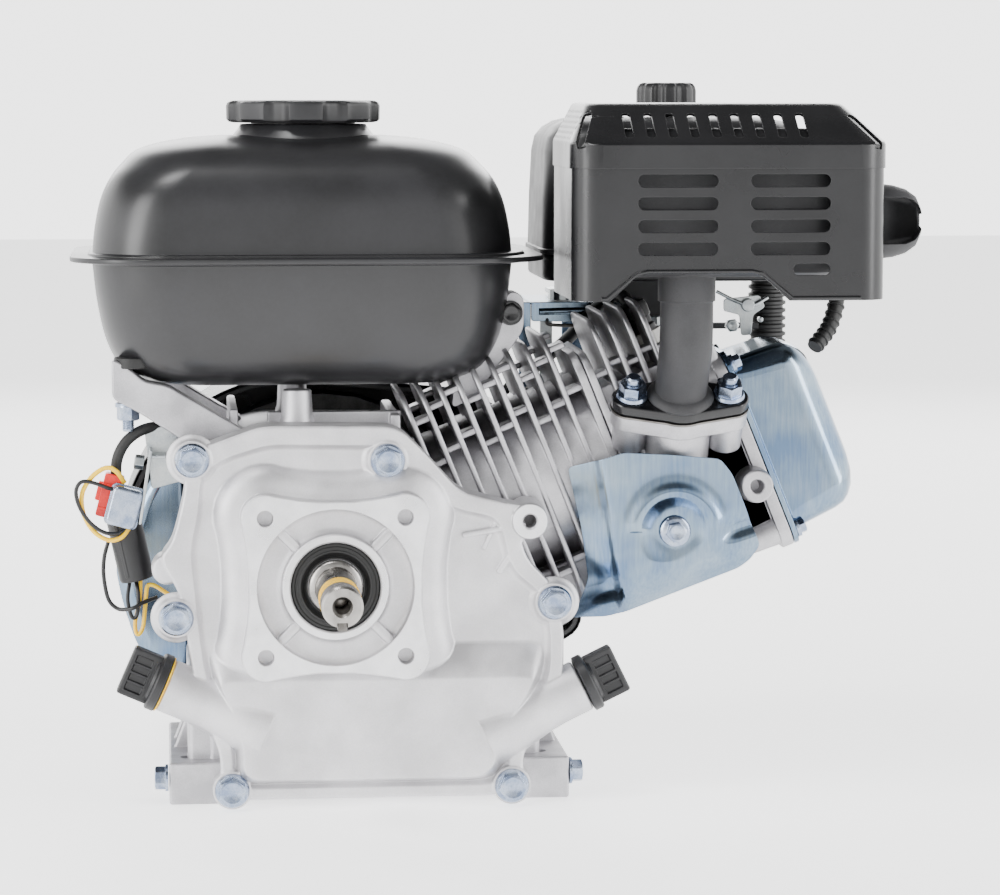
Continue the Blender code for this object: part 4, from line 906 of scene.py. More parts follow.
HEAD_LUG = cylinder_point(203.5, -37, 0).xz
DEFLECTOR_BOLT = cylinder_point(158.3, -40.2, 0).xz
PLUG = aimed(cylinder_point(184, 4, -4), V)
head_shapes = [box((-60, -35, 148.4), (34, 35, 211), 2.0, 2, CYLINDER)]
head_shapes.append(extruded(rounded((-4, 0), 57, 44.8, 14), 148.4, 152.2, CYLINDER, 0.7))
for number in range(4):
    head_shapes.append(fin(158 + 8 * number, 62, 43.8, 14))
    for v in (-44, -18, 14, 40):
        head_shapes.append(web(152 + 8 * number, 159 + 8 * number, v + 3 * (number % 2), 26, 38))
head_shapes.append(extruded(rounded((ROCKER_V, 0), 50, 39, 10), 206, 212, CYLINDER, 0.8))
head_shapes.append(extruded(rounded((ROCKER_V, 0), 47, 35, 9), 184.5, 207, CYLINDER, 1.5))
for v, f in ((-63, 31), (17, 31), (-63, -31), (17, -31)):
    head_shapes.append(turned([(0, 186), (6.5, 186), (7.5, 206), (0, 206)],
                              CYLINDER @ Matrix.Translation((v, f, 0)), 24))
head_shapes.append(turned([(0, 20), (9.4, 20), (8.2, 46), (7.8, 49.4), (7.2, 50), (3.8, 50), (3.2, 49.4),
                           (3.2, 38), (0, 38)],
                          shaft_frame(*HEAD_LUG), 40))
head_shapes.append(rib(cylinder_point(196, -36, 0).xz, cylinder_point(184, -36, 0).xz, 2.4, 24, 44, 0.8))
head_shapes.append(cylinder(7, 30, 57.4, shaft_frame(*DEFLECTOR_BOLT), 32, 0.5))
head_shapes.append(turned([(0, -34), (16, -34), (15.4, -8), (14, -1.4), (10, -1.2), (10, -26), (0, -26)],
                          PORT, 40))
head_shapes.append(extruded(port_outline(-0.4), -9, -1, PORT, 0.8))
head_shapes += [turned([(0, -22), (8, -22), (8.6, -2), (0, -2)], PORT @ Matrix.Translation((x, 0, 0)), 32)
                for x in (-STUD_X, STUD_X)]
head_shapes.append(turned([(0, -44.2), (15.4, -44.2), (16, -43.4), (16, -20), (0, -20)],
                          shaft_frame(CARB_X, CARB_Z), 40))
head_shapes.append(cylinder(11, 0, 36, PLUG, 32, 0.8))
piece("cylinder_head_casting", head_shapes, shaded_cast_skin, replaces=["cylinder_head"])

# %% [markdown]
# ## Rocker cover
#
# The rocker cover is drawn from sheet steel: a flat flange, a tall cup with soft corners, and a
# sloping end. A loft through outlines at several heights gives the draft and the big corner radius
# in one go, and four small flange screws hold it.

# %% Model the rocker cover
levels = [(212.4, 50, 39, 10), (214.6, 50, 39, 10), (215, 49.4, 38.4, 10), (215.2, 46, 35, 10),
          (216, 44.8, 33.8, 10), (222, 44.2, 33.2, 11), (238, 43.2, 32.2, 12), (243, 42.2, 31.4, 12),
          (246.5, 40.2, 29.6, 12), (250, 36.6, 26.6, 12), (252.4, 32, 22.6, 11), (253.6, 27, 18.6, 10),
          (253.9, 20, 12, 8)]
cover = stacked(levels, (ROCKER_V, 0), 8, CYLINDER)
screws = []
for v, f in ((-66, 32), (20, 32), (-66, -32), (20, -32)):
    screws += flange_bolt(CYLINDER @ Matrix.Translation((v, f, 0)), 6.4, 4.6, 215, 220.4, 10)
piece("rocker_cover_pressing", [cover], blue_zinc, replaces=["rocker_cover"])
piece("rocker_cover_screws", screws, bolt_zinc)

# %% [markdown]
# ## Heat deflector
#
# This pressed sheet keeps hot air from the exhaust side. It has a flange bent back on the left, a
# lower edge that curls under, a dish round its screw and a crescent rib above it. A thin slab with
# a fine grid is trimmed to the outline, and its points then move back or forward by the depth of
# each feature.

# %% Model the heat deflector
DEFLECTOR = [(111.6, 157.8), (136.8, 165.8), (160, 164.6), (183, 162.5), (188.6, 155.5), (193, 145),
             (197.2, 134.4), (203, 120.6), (199, 113), (194, 108.7), (162, 96.5), (131.7, 84.8),
             (111.9, 83.6), (118, 92), (121.6, 104.4), (118, 130)]


def ease(value):
    """0 below 0, 1 above 1, and a smooth step between."""
    value = min(max(value, 0.0), 1.0)
    return value * value * (3 - 2 * value)


def deflector_depth(x, z):
    """How far back from the flat sheet a point lies, in millimetres."""
    place = Vector((x, z))
    fold = (place - Vector((128.5, 165))).dot(Vector((-0.985, -0.17)))
    depth = 0.62 * max(fold, 0.0) * ease(fold / 6)
    curl = (Vector((121, 104.5)) - place).dot(Vector((-0.33, 0.944)))
    depth += 0.028 * max(curl, 0.0) ** 2
    to_bolt = place - DEFLECTOR_BOLT
    radius = to_bolt.length
    angle = math.degrees(math.atan2(to_bolt.y, to_bolt.x))
    depth += 2.2 * (1 - ease((radius - 8) / 11))
    crescent = ease((angle + 40) / 50) * (1 - ease((angle - 165) / 40))
    depth -= 2.4 * crescent * math.exp(-((radius - 19) / 4.2) ** 2)
    dent = (place - Vector((190, 128))).dot(Vector((0.3, -0.95)))
    along = ease((x - 176) / 18)
    depth += 4.4 * along * math.exp(-(dent / 4.6) ** 2)
    return depth


slab = bmesh.new()
bmesh.ops.create_grid(slab, x_segments=88, y_segments=80, size=0.5,
                      matrix=FRONT @ Matrix.Translation((157, 124, 59.4)) @ Matrix.Diagonal((100, 92, 1, 1)))
grown = bmesh.ops.extrude_face_region(slab, geom=slab.faces[:])
backs = [item for item in grown["geom"] if isinstance(item, bmesh.types.BMVert)]
bmesh.ops.translate(slab, verts=backs, vec=(0, 1.3, 0))
bmesh.ops.recalc_face_normals(slab, faces=slab.faces)
sheet = carved(slab, [plate(soften(DEFLECTOR, 2.5), -70, -50)], 0.0, "INTERSECT")
for vert in sheet.verts:
    vert.co.y += deflector_depth(vert.co.x, vert.co.z)
piece("heat_deflector_pressing", [sheet], blue_zinc, replaces=["heat_deflector"])
screw = flange_bolt(shaft_frame(*DEFLECTOR_BOLT), 8.6, 7.4, 58.6, 65.4, 12)
piece("heat_deflector_screw", screw, bolt_zinc)

# %% [markdown]
# ## Fuel tank
#
# The tank is two deep-drawn halves welded at a flat flange. Each half is a loft whose outlines are
# interpolated smoothly from a few measured ones, so the sides swell and the corners roll over
# without flat bands. The flange is a thin plate, and a conical neck with an open filler rises to
# the cap.

# %% Model the fuel tank
LOWER_HALF = [(196.6, 58, 34, 22), (197.2, 70, 43, 26), (200.5, 80.5, 53, 31), (207, 88, 60.6, 34),
              (220, 94, 66.4, 36), (238, 97.6, 70, 36), (255, 99.4, 71.8, 36)]
UPPER_HALF = [(258, 99.4, 71.8, 36), (270, 98.4, 70.8, 36), (284, 95.6, 68, 36), (294, 91.2, 64, 36),
              (301.5, 85, 58.4, 36), (307, 79, 50.5, 34), (310.6, 69, 41, 30), (313, 56, 29, 24),
              (314.4, 40, 15, 13)]


def tank_half(levels):
    smooth = smooth_route(levels, 4)
    return lofted([(z, rounded((TANK_X - 2, TANK_Y), x, y, min(r, y - 0.5), 10)) for z, x, y, r in smooth])


neck = turned([(26, 304), (38, 304), (36.4, 311), (34.2, 314.4), (31.6, 317.4), (30.4, 319.6), (28, 319.8),
               (26, 318.6)],
              upright(TANK_X, CAP_Y), 64, closed=True)
seam = extruded(rounded((TANK_X, TANK_Y), 111.8, 83.8, 40, 14), SEAM_Z + 0.1, SEAM_Z + 2.6, UP, 0.7, 3)
curb = extruded(rounded((TANK_X, TANK_Y), 103.6, 74, 38, 14), SEAM_Z - 1.2, SEAM_Z + 4, UP, 1.6, 3)
filler = cylinder(26.4, 285, 330, upright(TANK_X, CAP_Y), 64)
piece("fuel_tank_shell", [tank_half(LOWER_HALF), carved(tank_half(UPPER_HALF), [filler]), seam, curb, neck],
      tank_black, replaces=["fuel_tank"], sharp=50)
bungs = [cylinder(9, 206, 211, upright(-93, y), 32, 0.6) for y in (-37, 29)]
piece("tank_rubber_pads", bungs, rubber_black)

# %% [markdown]
# ## Fuel cap
#
# The cap is moulded, with eight wide flutes for the hand. Its outline swings between two radii, and
# the loft pulls the rim in at top and bottom. A shallow ring and a round recess are sunk into the
# top.

# %% Model the fuel cap
LOBES, LOBE_STEPS = 8, 144


def lobed(radius, depth, sharpness, bias):
    """A round outline with lobes. A higher bias makes the lobes wider than the gaps."""
    points = []
    for step in range(LOBE_STEPS):
        angle = math.tau * step / LOBE_STEPS
        reach = radius + depth * math.tanh(sharpness * math.cos(LOBES * angle) + bias)
        points.append((reach * math.cos(angle), reach * math.sin(angle)))
    return points


axis_up = upright(TANK_X, CAP_Y)
levels = [(320.4, 2.4, 0.6), (320.8, 0.9, 1.1), (322, 0.1, 1.4), (328.4, 0.0, 1.4), (330, 0.5, 1.3),
          (330.8, 1.7, 1.0), (331, 3.2, 0.5)]
cap = lofted([(z, lobed(35.8 - shrink, depth, 5, 2.2)) for z, shrink, depth in levels], axis_up)
cap = carved(cap, [ring(29, 27.6, 330.2, 332, axis_up, 64), cylinder(23, 330.4, 332, axis_up, 64)], 0.2)
skirt = cylinder(25.2, 316, 321, axis_up, 48)
piece("fuel_cap_moulding", [cap, skirt], moulded_black, "fuel_cap_body", ["fuel_cap"])

# %% [markdown]
# ## Muffler guard
#
# The guard is two folded sheets. The lower one is a band with round corners, eight long slots in
# front, and a notch over the exhaust pipe. The upper one slants back and overlaps it, with nine
# upright slots, open mitres at its front corners and small holes in its left end. Both are lofted
# outside and inside, and the press tools cut the slots with rounded ends.

# %% Model the muffler guard
GUARD_LEFT, GUARD_RIGHT, GUARD_FRONT, GUARD_BACK = 107.0, 254.0, -105.0, -10.0


def guard_level(z, inset, left=0.0, right=0.0, lean=0.0, corner=13.0, behind=0.0):
    """The guard's outline at a height: how far its sides and its front have moved in."""
    low = (GUARD_LEFT + left + inset, GUARD_FRONT + lean + inset)
    high = (GUARD_RIGHT - right - inset, GUARD_BACK + behind)
    middle = ((low[0] + high[0]) / 2, (low[1] + high[1]) / 2)
    return z, rounded(middle, (high[0] - low[0]) / 2, (high[1] - low[1]) / 2, max(corner - inset, 2.0), 8)


def slot_cutter(x, z, half_x, half_z):
    return plate(rounded((x, z), half_x, half_z, min(half_x, half_z) - 0.05, 6), -115, -95)


band = lofted([guard_level(240, 0.9), guard_level(303, 0.9)])
tools = [lofted([guard_level(238, 2.2, behind=30), guard_level(306, 2.2, behind=30)])]
for row in range(4):
    tools += [slot_cutter(x + 18.5, 263.9 + 10.35 * row, 18.5, 2.9) for x in (137.3, 189.3)]
tools.append(slot_cutter(217.8, 254.3, 8.6, 2.7))
notch = [(120, 236), (125, 240.5), (136, 250.6), (141, 252.8), (191, 252.8), (196, 250.6), (207, 240.5),
         (212, 236)]
tools.append(plate(notch, -110, -88))
outlet_way = aimed((0, OUTLET_Y, OUTLET_Z), (1, 0, 0))
tools.append(cylinder(18.6, 235, 260, outlet_way, 48))
lower_guard = carved(band, tools, 0.35)
lip_line = [(120.5, 241.2), (123, 241.2), (137, 252.6), (142, 253.6), (190, 253.6), (195, 252.6),
            (209, 241.2), (240.5, 241.2)]
lip = swept([(x, -104.6, z) for x, z in lip_line], 0.9, 8, 0)
piece("muffler_guard_lower", [lower_guard, lip], guard_black, replaces=["muffler_guard"],
      sharp=30)
crown = lofted([guard_level(300.4, 0.05, corner=14), guard_level(311.2, 0.05, corner=14),
                guard_level(312.6, 0.05, 0.3, 0.6, 1.2, 13), guard_level(328.6, 0.05, 9.2, 15.2, 27.6, 8),
                guard_level(329.8, 0.05, 10.2, 16.4, 30.4, 8), guard_level(330, 0.05, 12, 18, 33, 7)])
tools = [lofted([guard_level(298, 1.2, corner=14, behind=30), guard_level(311, 1.2, corner=14, behind=30),
                 guard_level(328.4, 1.2, 9.6, 15.6, 29, 8, 30)])]
for number in range(9):
    x = 134 + 10.1 * number
    slant = frame_of((x, -91.6, 319.4), (1, 0, 0), (0, -0.54, 0.84))
    tools.append(extruded(rounded((0, 0.4), 1.95, 10.6, 1.9, 6), -4, 4, slant))
mitres = [((112.0, -92.5, 320.6), (9.2, 30, 17)), ((246.0, -93.5, 320.2), (-15.2, 29, 17))]
for place, run in mitres:
    along = Vector(run).normalized()
    out = Vector((-1 if run[0] > 0 else 1, -1, 1.2)).normalized()
    slit = frame_of(place, along, (out - along * out.dot(along)))
    tools.append(extruded(rounded((0, 0), 14.5, 2.3, 2.2, 6), -6, 6, slit))
for row in range(6):
    for column in range(12):
        place = (100, -84 + 5.6 * column, 314 + 2.4 * row)
        tools.append(cylinder(0.75, 0, 30, aimed(place, (1, 0, 0)), 6))
upper_guard = carved(crown, tools, 0.25)
piece("muffler_guard_upper", [upper_guard], guard_black, sharp=30)

# %% [markdown]
# ## Muffler, pipe and outlet
#
# Behind the guard sits a rounded can. The pipe comes up from the port through a bend, with a weld
# bead at its flange, and the flange is an oval forging held by two flange nuts on studs.

# %% Model the exhaust
can_levels = [(250, 52, 30, 14), (251.4, 56, 34, 16), (255, 59.4, 37.4, 17), (280, 60, 38, 17),
              (306, 59.4, 37.4, 17), (313, 55, 33, 16), (318, 46, 25, 14)]
can = stacked(smooth_route(can_levels, 3), (MUFFLER_X, MUFFLER_Y), 8)
crease = extruded(rounded((MUFFLER_X, MUFFLER_Y), 61.4, 39.4, 18, 10), 279, 281.4, UP, 0.6)
foot = PORT @ Vector((0, 0, 3))
bend = [foot, PORT @ Vector((0, 0, 13)), Vector((PIPE_X, -73, 214)), Vector((PIPE_X, PIPE_Y, 226)),
        Vector((PIPE_X, PIPE_Y, 254))]
pipe = swept([tuple(p) for p in bend], 12.4, 48, 10)
sleeve = turned([(12.4, 238), (13.4, 238.6), (13.4, 252), (12.4, 252)], upright(PIPE_X, PIPE_Y), 48,
                closed=True)
bead = turned([(12, 5.4), (15.6, 5.4), (15.9, 6.6), (14.8, 8.2), (13, 9.4), (12, 9.4)], PORT, 48,
              closed=True)
piece("muffler_can_and_pipe", [can, crease, pipe, sleeve, bead], heat_black,
      replaces=["muffler"])
flange = extruded(port_outline(-0.2), 0.2, 5.9, PORT, 1.3, 3)
piece("exhaust_flange", [flange], flange_black)
piece("exhaust_gasket", [extruded(port_outline(0.2), -0.8, 0.2, PORT)], dark_steel)
nuts = []
for x in (-STUD_X, STUD_X):
    matrix = PORT @ Matrix.Translation((x, 0, 0))
    nuts += flange_bolt(matrix, 11.2, 7.7, 6.0, 13.6, 8 + x)
    nuts.append(turned([(0, 12), (3.6, 12), (3.6, 16.6), (2.8, 17.4), (0, 17.4)], matrix, 24))
piece("exhaust_nuts", nuts, bolt_zinc)
horn = turned([(0, 238.6), (17.6, 238.6), (17.7, 258), (17, 264), (15.2, 270), (12, 274.6), (7, 277),
               (0, 277.3)], outlet_way, 48)
hollow = turned([(0, 237), (16, 237), (16.1, 258), (15.4, 263.6), (13.6, 269), (10.4, 273), (6, 275.2),
                 (0, 275.5)],
                outlet_way, 48)
mouth = [(252.5, 263.6), (256.5, 264.2), (268, 264.2), (273, 266), (277, 271), (277.8, 276), (276, 281),
         (272.4, 284.6), (268, 286), (256.5, 286), (252.5, 285.6)]
horn = carved(horn, [hollow, plate(mouth, -90, -60)], 0.2)
piece("exhaust_outlet_horn", [horn], heat_black, replaces=["exhaust_outlet"])

# %% [markdown]
# ## Air cleaner
#
# The case holds a foam ring under a moulded cover with soft shoulders. One knob holds the cover on
# its stud, and its side has eight wide lobes for the fingers.

# %% Model the air cleaner
x, y = CLEANER_X, CLEANER_Y
tray = extruded(rounded((x, y), 65.8, 51.8, 20, 10), 243.2, 256, UP, 2.0, 3)
tray = carved(tray, [extruded(rounded((x, y), 61, 47, 16, 8), 247, 258, UP)], 0.3)
lip = extruded(rounded((x, y), 66, 52, 20, 10), 253.6, 255.9, UP, 0.7)
lip = carved(lip, [extruded(rounded((x, y), 61, 47, 16, 8), 250, 260, UP)])
elbow = box((CARB_X - 18, 84.3, CARB_Z - 17), (CARB_X + 18, 104, 247), 4.0, 4)
post = cylinder(3, 245, 325, upright(x, y), 24)
piece("air_cleaner_case", [tray, lip, elbow, post], moulded_black,
      replaces=["air_cleaner_base"])
cover_levels = [(256.3, 67, 53, 20), (258.6, 67, 53, 20), (259, 66, 52, 20), (285, 65.4, 51.4, 20),
                (306, 64.4, 50.4, 20), (313, 63, 49, 20), (317.6, 59.6, 45.6, 20), (320.6, 54.6, 40.6, 19),
                (322.2, 48, 34, 16), (322.5, 40, 26, 12)]
hood = stacked(cover_levels, (x, y), 10)
ribs = [box((x + shift - 1, y - 29, 320.4), (x + shift + 1, y + 29, 323), 0.5)
        for shift in (-37, -26, 26, 37)]
inside = lofted([(z, rounded((x, y), a - 2.4, b - 2.4, max(r - 2.4, 6), 8)) for z, a, b, r in
                 ((255, 67, 53, 20), (306, 64.4, 50.4, 20), (318, 56, 42, 18))])
hood = carved(hood, [inside], 0.0)
piece("air_cleaner_hood", [hood, *ribs], moulded_black, "air_cleaner_cover_body",
      ["air_cleaner_cover"])
knob_outline = lobed(14.0, 0.9, 3, 0.8)
shrink = [(326.8, 0.9), (327.6, 1.0), (335.6, 1.0), (337.6, 0.965), (338.9, 0.9), (339.5, 0.8)]
knob = lofted([(z, [(px * s, py * s) for px, py in knob_outline]) for z, s in shrink], upright(x, y))
stem = turned([(3.4, 323), (8, 323), (8, 328), (3.4, 328)], upright(x, y), 32, closed=True)
piece("air_cleaner_knob_moulding", [knob, stem], moulded_black,
      "air_cleaner_knob_body", ["air_cleaner_knob"])

# %% [markdown]
# ## Wiring on the left side
#
# The low-oil switch has its relay on the left of the case. A zinc bracket holds a small drawn can,
# and a black sleeve comes down over the joint between the leads. A red connector and a
# rubber-covered cylinder hang behind the can. The yellow and the black lead are held at both ends,
# so each is swept along its own route and stays in place.

# %% Model the relay group
LEAN = math.radians(-15)
can_frame, red_frame = (frame_of(place, (math.cos(LEAN), 0, math.sin(LEAN)), (0, -1, 0))
                        for place in ((-97.8, 0, 141), (-104.6, 0, 145.4)))
can_shell = extruded(rounded((0, 0), 7.3, 9.4, 2.6, 6), 41, 50, can_frame, 1.8, 4)
can_lip = extruded(rounded((0, 0), 8.0, 10.1, 2.6, 6), 41, 42.4, can_frame, 0.4)
blade = plate([(-85.6, 168), (-84.2, 168), (-89.8, 133), (-91.2, 133)], -49, -30, 0.5)
base = plate(soften([(-88, 175), (-72, 181), (-70, 152), (-85, 148)], 2), -35, -33.4, 0.5)
hook = box((-86, -46, 164), (-78, -33.4, 165.6), 0.6)
screw = hexagon_head(aimed((-88.4, -41, 161.4), (-1, 0, 0.16)), 6.2, 0, 4.6, 12, 0.4)
piece("relay_can", [can_shell, can_lip], bolt_zinc, replaces=["oil_alert_module"])
piece("relay_bracket", [blade, base, hook, screw], linkage_zinc)
plug_body = extruded(rounded((0, 0), 4.6, 10.4, 1.0, 4), 30, 39, red_frame, 0.5)
catch = extruded(rounded((-5.0, 1.0), 1.6, 4.6, 0.6, 3), 32, 36, red_frame, 0.3)
steps = [extruded(rounded((0.4, z), 4.9, 0.7, 0.4, 3), 30, 39.5, red_frame, 0.2) for z in (-6.5, 5.0)]
piece("red_connector", [plug_body, catch, *steps], red_plastic)
drop = aimed((-99.0, -31.6, 136.5), (0.21, 0, -0.978))
cell = turned([(0, -3), (7.6, -3), (8.2, -2.2), (8.2, 31), (7.7, 32.4), (6.2, 32.8), (5.8, 32), (0, 32)],
              drop, 48)
seam = box((7.4, -1.0, 2), (8.5, 1.0, 30), 0.3, 2, drop @ Matrix.Rotation(math.radians(-60), 4, "Z"))
piece("capacitor_sleeve", [cell, seam], moulded_black)
sleeve = [(-78, -30, 176), (-84, -33, 177.4), (-90.4, -36, 175.8), (-96.4, -37, 171.4), (-100.4, -37, 164.6),
          (-101.6, -36, 157), (-100.6, -34, 148), (-99.4, -32, 138)]
piece("lead_sleeve", [swept(sleeve, 2.6, 20, 6)], rubber_black)

# %% [markdown]
# ## Leads
#
# The leads are thin stranded wire in soft plastic. Their routes are listed: out of the can,
# once round its left side, and back under it, then down from the cylinder to the case.

# %% Model the leads
YELLOW_LOOP = [(-97.6, -40, 152), (-101.4, -42.6, 157.6), (-106.2, -43, 159.4), (-112.6, -43, 155.4),
               (-117.4, -43, 147.6), (-117.0, -43, 138), (-112.2, -43, 129.4), (-105.4, -43, 125.2),
               (-99.4, -43, 126.4), (-95.4, -41.4, 131)]
BLACK_LOOP = [(-98.6, -41, 148.4), (-104.4, -43.6, 149.6), (-111.4, -45, 152.4), (-117.4, -45.4, 153.2),
              (-120.2, -45.4, 149), (-118.8, -45.4, 141.6), (-114, -45.2, 134), (-108, -45, 129.4),
              (-102, -44, 128.2), (-97.4, -42, 130)]
YELLOW_DROP = [(-90.6, -32, 104.6), (-91.2, -34, 95), (-93.4, -35, 84.4), (-92.4, -35, 78.8),
               (-89.8, -35, 82), (-88.6, -34, 92), (-87.6, -33, 101), (-85.2, -33, 102.2),
               (-81.6, -33, 100.4), (-76, -33, 96.4)]
BLACK_DROP = [(-95.6, -32, 104.6), (-96.8, -35, 96), (-95.4, -36, 88.6), (-93.7, -36, 86.8),
              (-92.2, -36, 89.6), (-91.8, -35, 98), (-93, -32, 104.6)]
BLACK_SIDE = [(-105.4, -33, 124), (-107.6, -34, 116), (-108.0, -34, 107), (-106, -34, 96),
              (-101.8, -35, 91.4), (-97, -37, 91.2), (-93.6, -38, 92.2), (-90, -36, 94), (-83, -32, 96)]
piece("yellow_lead_loop", [swept(YELLOW_LOOP, 1.15, 12, 8)], yellow_lead)
piece("black_lead_loop", [swept(BLACK_LOOP, 0.95, 12, 8)], black_lead)
piece("yellow_lead_drop", [swept(YELLOW_DROP, 1.0, 12, 8)], yellow_lead)
piece("black_lead_drop", [swept(BLACK_DROP, 0.95, 12, 8), swept(BLACK_SIDE, 1.0, 12, 8)], black_lead)

# %% [markdown]
# ## Tank fixings
#
# A flange nut on a stud clamps the tank under each left arm, and a stay on the cylinder carries
# the tank's right side; its darker aluminium is painted shade for the shade under the tank. The
# stud's thread is a turned zigzag, which is close enough to a helix at this size.

# %% Model the tank fixings
def stud(matrix, radius, low, high, pitch=0.8):
    """A threaded end with a pointed tip."""
    turns = int((high - low) / pitch)
    profile = [(0, low)]
    for number in range(turns):
        z = low + pitch * number
        profile += [(radius - 0.35, z), (radius, z + pitch / 2)]
    profile += [(radius - 0.5, high), (0, high)]
    return turned(profile, matrix, 24)


fixings = []
for y in (-37, 29):
    under = aimed((-95.6, y, 189.6), (0, 0, -1))
    fixings += flange_bolt(under, 9.6, 6.2, 0, 8.4, 14)
    fixings.append(stud(under, 2.9, 8, 13.6))
piece("tank_stud_nuts", fixings, bolt_zinc)
STAY_BOLT = (86.5, 230)
STAY = [(58, 184), (70, 190), (80, 204), (86, 212), (93, 222), (93, 238), (87, 241), (81, 234), (74, 216),
        (60, 202)]
stay = carved(plate(soften(STAY, 4, 5), -26, -10, 1.2, 3), [cylinder(3, 0, 40, shaft_frame(*STAY_BOLT), 24)],
              0.4)
pad_bolt = flange_bolt(shaft_frame(*STAY_BOLT), 8.6, 6, 26.0, 31.6, 20)
piece("tank_stay", [stay], shaded_cast_skin)
piece("tank_stay_bolt", pad_bolt, flange_black)

# %% [markdown]
# ## Control plate and linkage
#
# A pressed plate above the cylinder carries the speed lever. Its front edge is folded down, and a
# thin governor rod runs below it to the throttle. Behind the exhaust pipe sit the small zinc levers
# of throttle and choke.

# %% Model the controls
front_fold = plate(soften([(104, 221), (158, 220.4), (164, 224), (161, 230.4), (104, 230.6)], 1.6), 45.6, 47,
                   0.3)
top_sheet = box((104, 47, 229.2), (162, 106, 230.6), 0.4)
bead = swept([(108, 45.4, 225.8), (130, 45.2, 226.2), (156, 45.4, 225.4)], 1.6, 12, 6)
leg = box((98, 47, 188), (104, 49, 230.6), 0.5)
rear_leg = box((126, 104, 196), (140, 106, 230), 0.5)
piece("control_plate", [front_fold, top_sheet, bead, leg, rear_leg], blue_zinc)
rod = swept([(112, 46, 222), (114, 43.4, 219.4), (136, 43, 218.8), (160, 43, 218.4), (166, 48, 218.2),
             (168, 57, 218)], 0.9, 12, 6)
piece("governor_rod", [rod], dark_steel)
plate_outline = soften([(200, 232), (218, 234), (221, 228), (215, 224), (214, 214), (209, 213.6), (208, 224),
                        (200, 226)], 1.4)
linkage = [plate(plate_outline, 39, 40.4, 0.3), cylinder(3.2, -42, -36, shaft_frame(212, 229), 24, 0.4),
           swept([(196, 37, 236), (206, 37, 231), (214, 37, 229), (222, 37, 233)], 0.9, 12, 6)]
linkage += [hexagon_head(shaft_frame(204, 219), 6, -40, -35.4, 8, 0.4),
            cylinder(1.3, -38, -34, shaft_frame(218, 222), 16, 0.2)]
piece("choke_linkage", linkage, linkage_zinc)
duct = [(6.4, 204), (8.2, 204)]
for number in range(9):
    z = 206 + 4 * number
    duct += [(8.2, z), (9.6, z + 0.7), (9.6, z + 2.1), (8.2, z + 2.8)]
duct += [(8.2, 242.9), (6.4, 242.9)]
piece("intake_duct", [turned(duct, upright(230, 86), 40, closed=True)], rubber_black)

# %% [markdown]
# ## Spark plug, cap and lead
#
# The plug screws into the head's upper side, and a rubber boot covers its white insulator. The
# ignition lead leaves the boot, passes over the fins and goes through a grommet into the fan
# housing.

# %% Model the plug
boot = turned([(0, 41), (7.0, 41), (7.6, 42), (7.6, 46), (6.6, 47), (6.6, 50), (7.4, 51), (7.4, 56),
               (6.6, 58.4), (4, 59.4), (0, 59.6)], PLUG, 40)
piece("spark_plug_boot", [boot], moulded_black, replaces=["spark_plug_cap"])
hexagon = extruded(arc((0, 0), 9.2, 0, 300, 5), 36.4, 39.6, PLUG, 0.4)
piece("spark_plug_hexagon", [hexagon], bolt_zinc)
LEAD = [(147.6, -4, 231.4), (144, 6, 236), (140, 22, 234), (134, 38, 226), (122, 56, 210), (106, 59, 196),
        (98, 62.6, 184)]
grommet = turned([(3.4, -3), (7, -3), (7, -1.4), (5.4, 0), (5.4, 1), (3.4, 1)],
                 shaft_frame(98, 184) @ Matrix.Translation((0, 0, -62)), 32, closed=True)
piece("ignition_lead", [swept(LEAD, 3.3, 20, 8), grommet], rubber_black)

# %% [markdown]
# ## Float bowl and breather hose
#
# The bowl is drawn steel with a rolled rim, a belly and one bolt below. The breather hose is ribbed
# rubber, so it is swept along the same route as in the frame and gets a ring every few millimetres.

# %% Model the bowl and the hose
bowl_axis = upright(CARB_X, 68)
bowl = turned([(0, 150), (12, 150), (16.4, 151.2), (18.2, 154), (18.6, 158), (18.6, 166), (19, 167),
               (19, 170.4), (0, 170.4)],
              bowl_axis, 48)
bowl_bolt = hexagon_head(aimed((CARB_X, 68, 150.2), (0, 0, -1)), 8, 0, 4.9, 10, 0.3)
piece("float_bowl_pressing", [bowl, bowl_bolt], linkage_zinc, replaces=["float_bowl"])
HOSE = [(238.6, 40, 251), (246, 40, 251), (252, 40, 246), (257, 38, 234), (252, 30, 219), (243, 22, 209)]
route = smooth_route(HOSE, 8)
ribs = []
for before, here, after in list(zip(route, route[1:], route[2:]))[4::2]:
    ribs.append(turned([(3.6, -0.6), (4.4, -0.5), (4.6, 0), (4.4, 0.5), (3.6, 0.6)],
                       aimed(here, after - before), 24, closed=True))
piece("breather_hose_ribbed", [swept(HOSE, 3.9, 24, 8), *ribs], rubber_black,
      replaces=["breather_hose"])

# %% [markdown]
# ## Fan housing
#
# A pressed steel shell guides the fan's air over the cylinder. Its outline swells like a snail from
# the top over the left side. The shell is black, and a zinc inner plate with a soft belly shows in
# front of it on the lower left.

# %% Model the fan housing
SHELL_FRONT, SHELL_BACK, SHELL_WALL = 62.0, 132.0, 1.6


def snail_outline(grow=0.0):
    """The housing: an arc that grows over the left side, then straight sides on the right."""
    points = []
    for step in range(49):
        turn = math.radians(95 + 215 * step / 48)
        radius = 88 + 16 * math.sin(math.pi * step / 48)
        points.append((radius * math.cos(turn), CRANK_Z + radius * math.sin(turn)))
    points += soften([(100, 46), (132, 62), (132, 128), (112, 164), (66, 190)], 9, 4)[2:-2]
    return offset(points, grow)


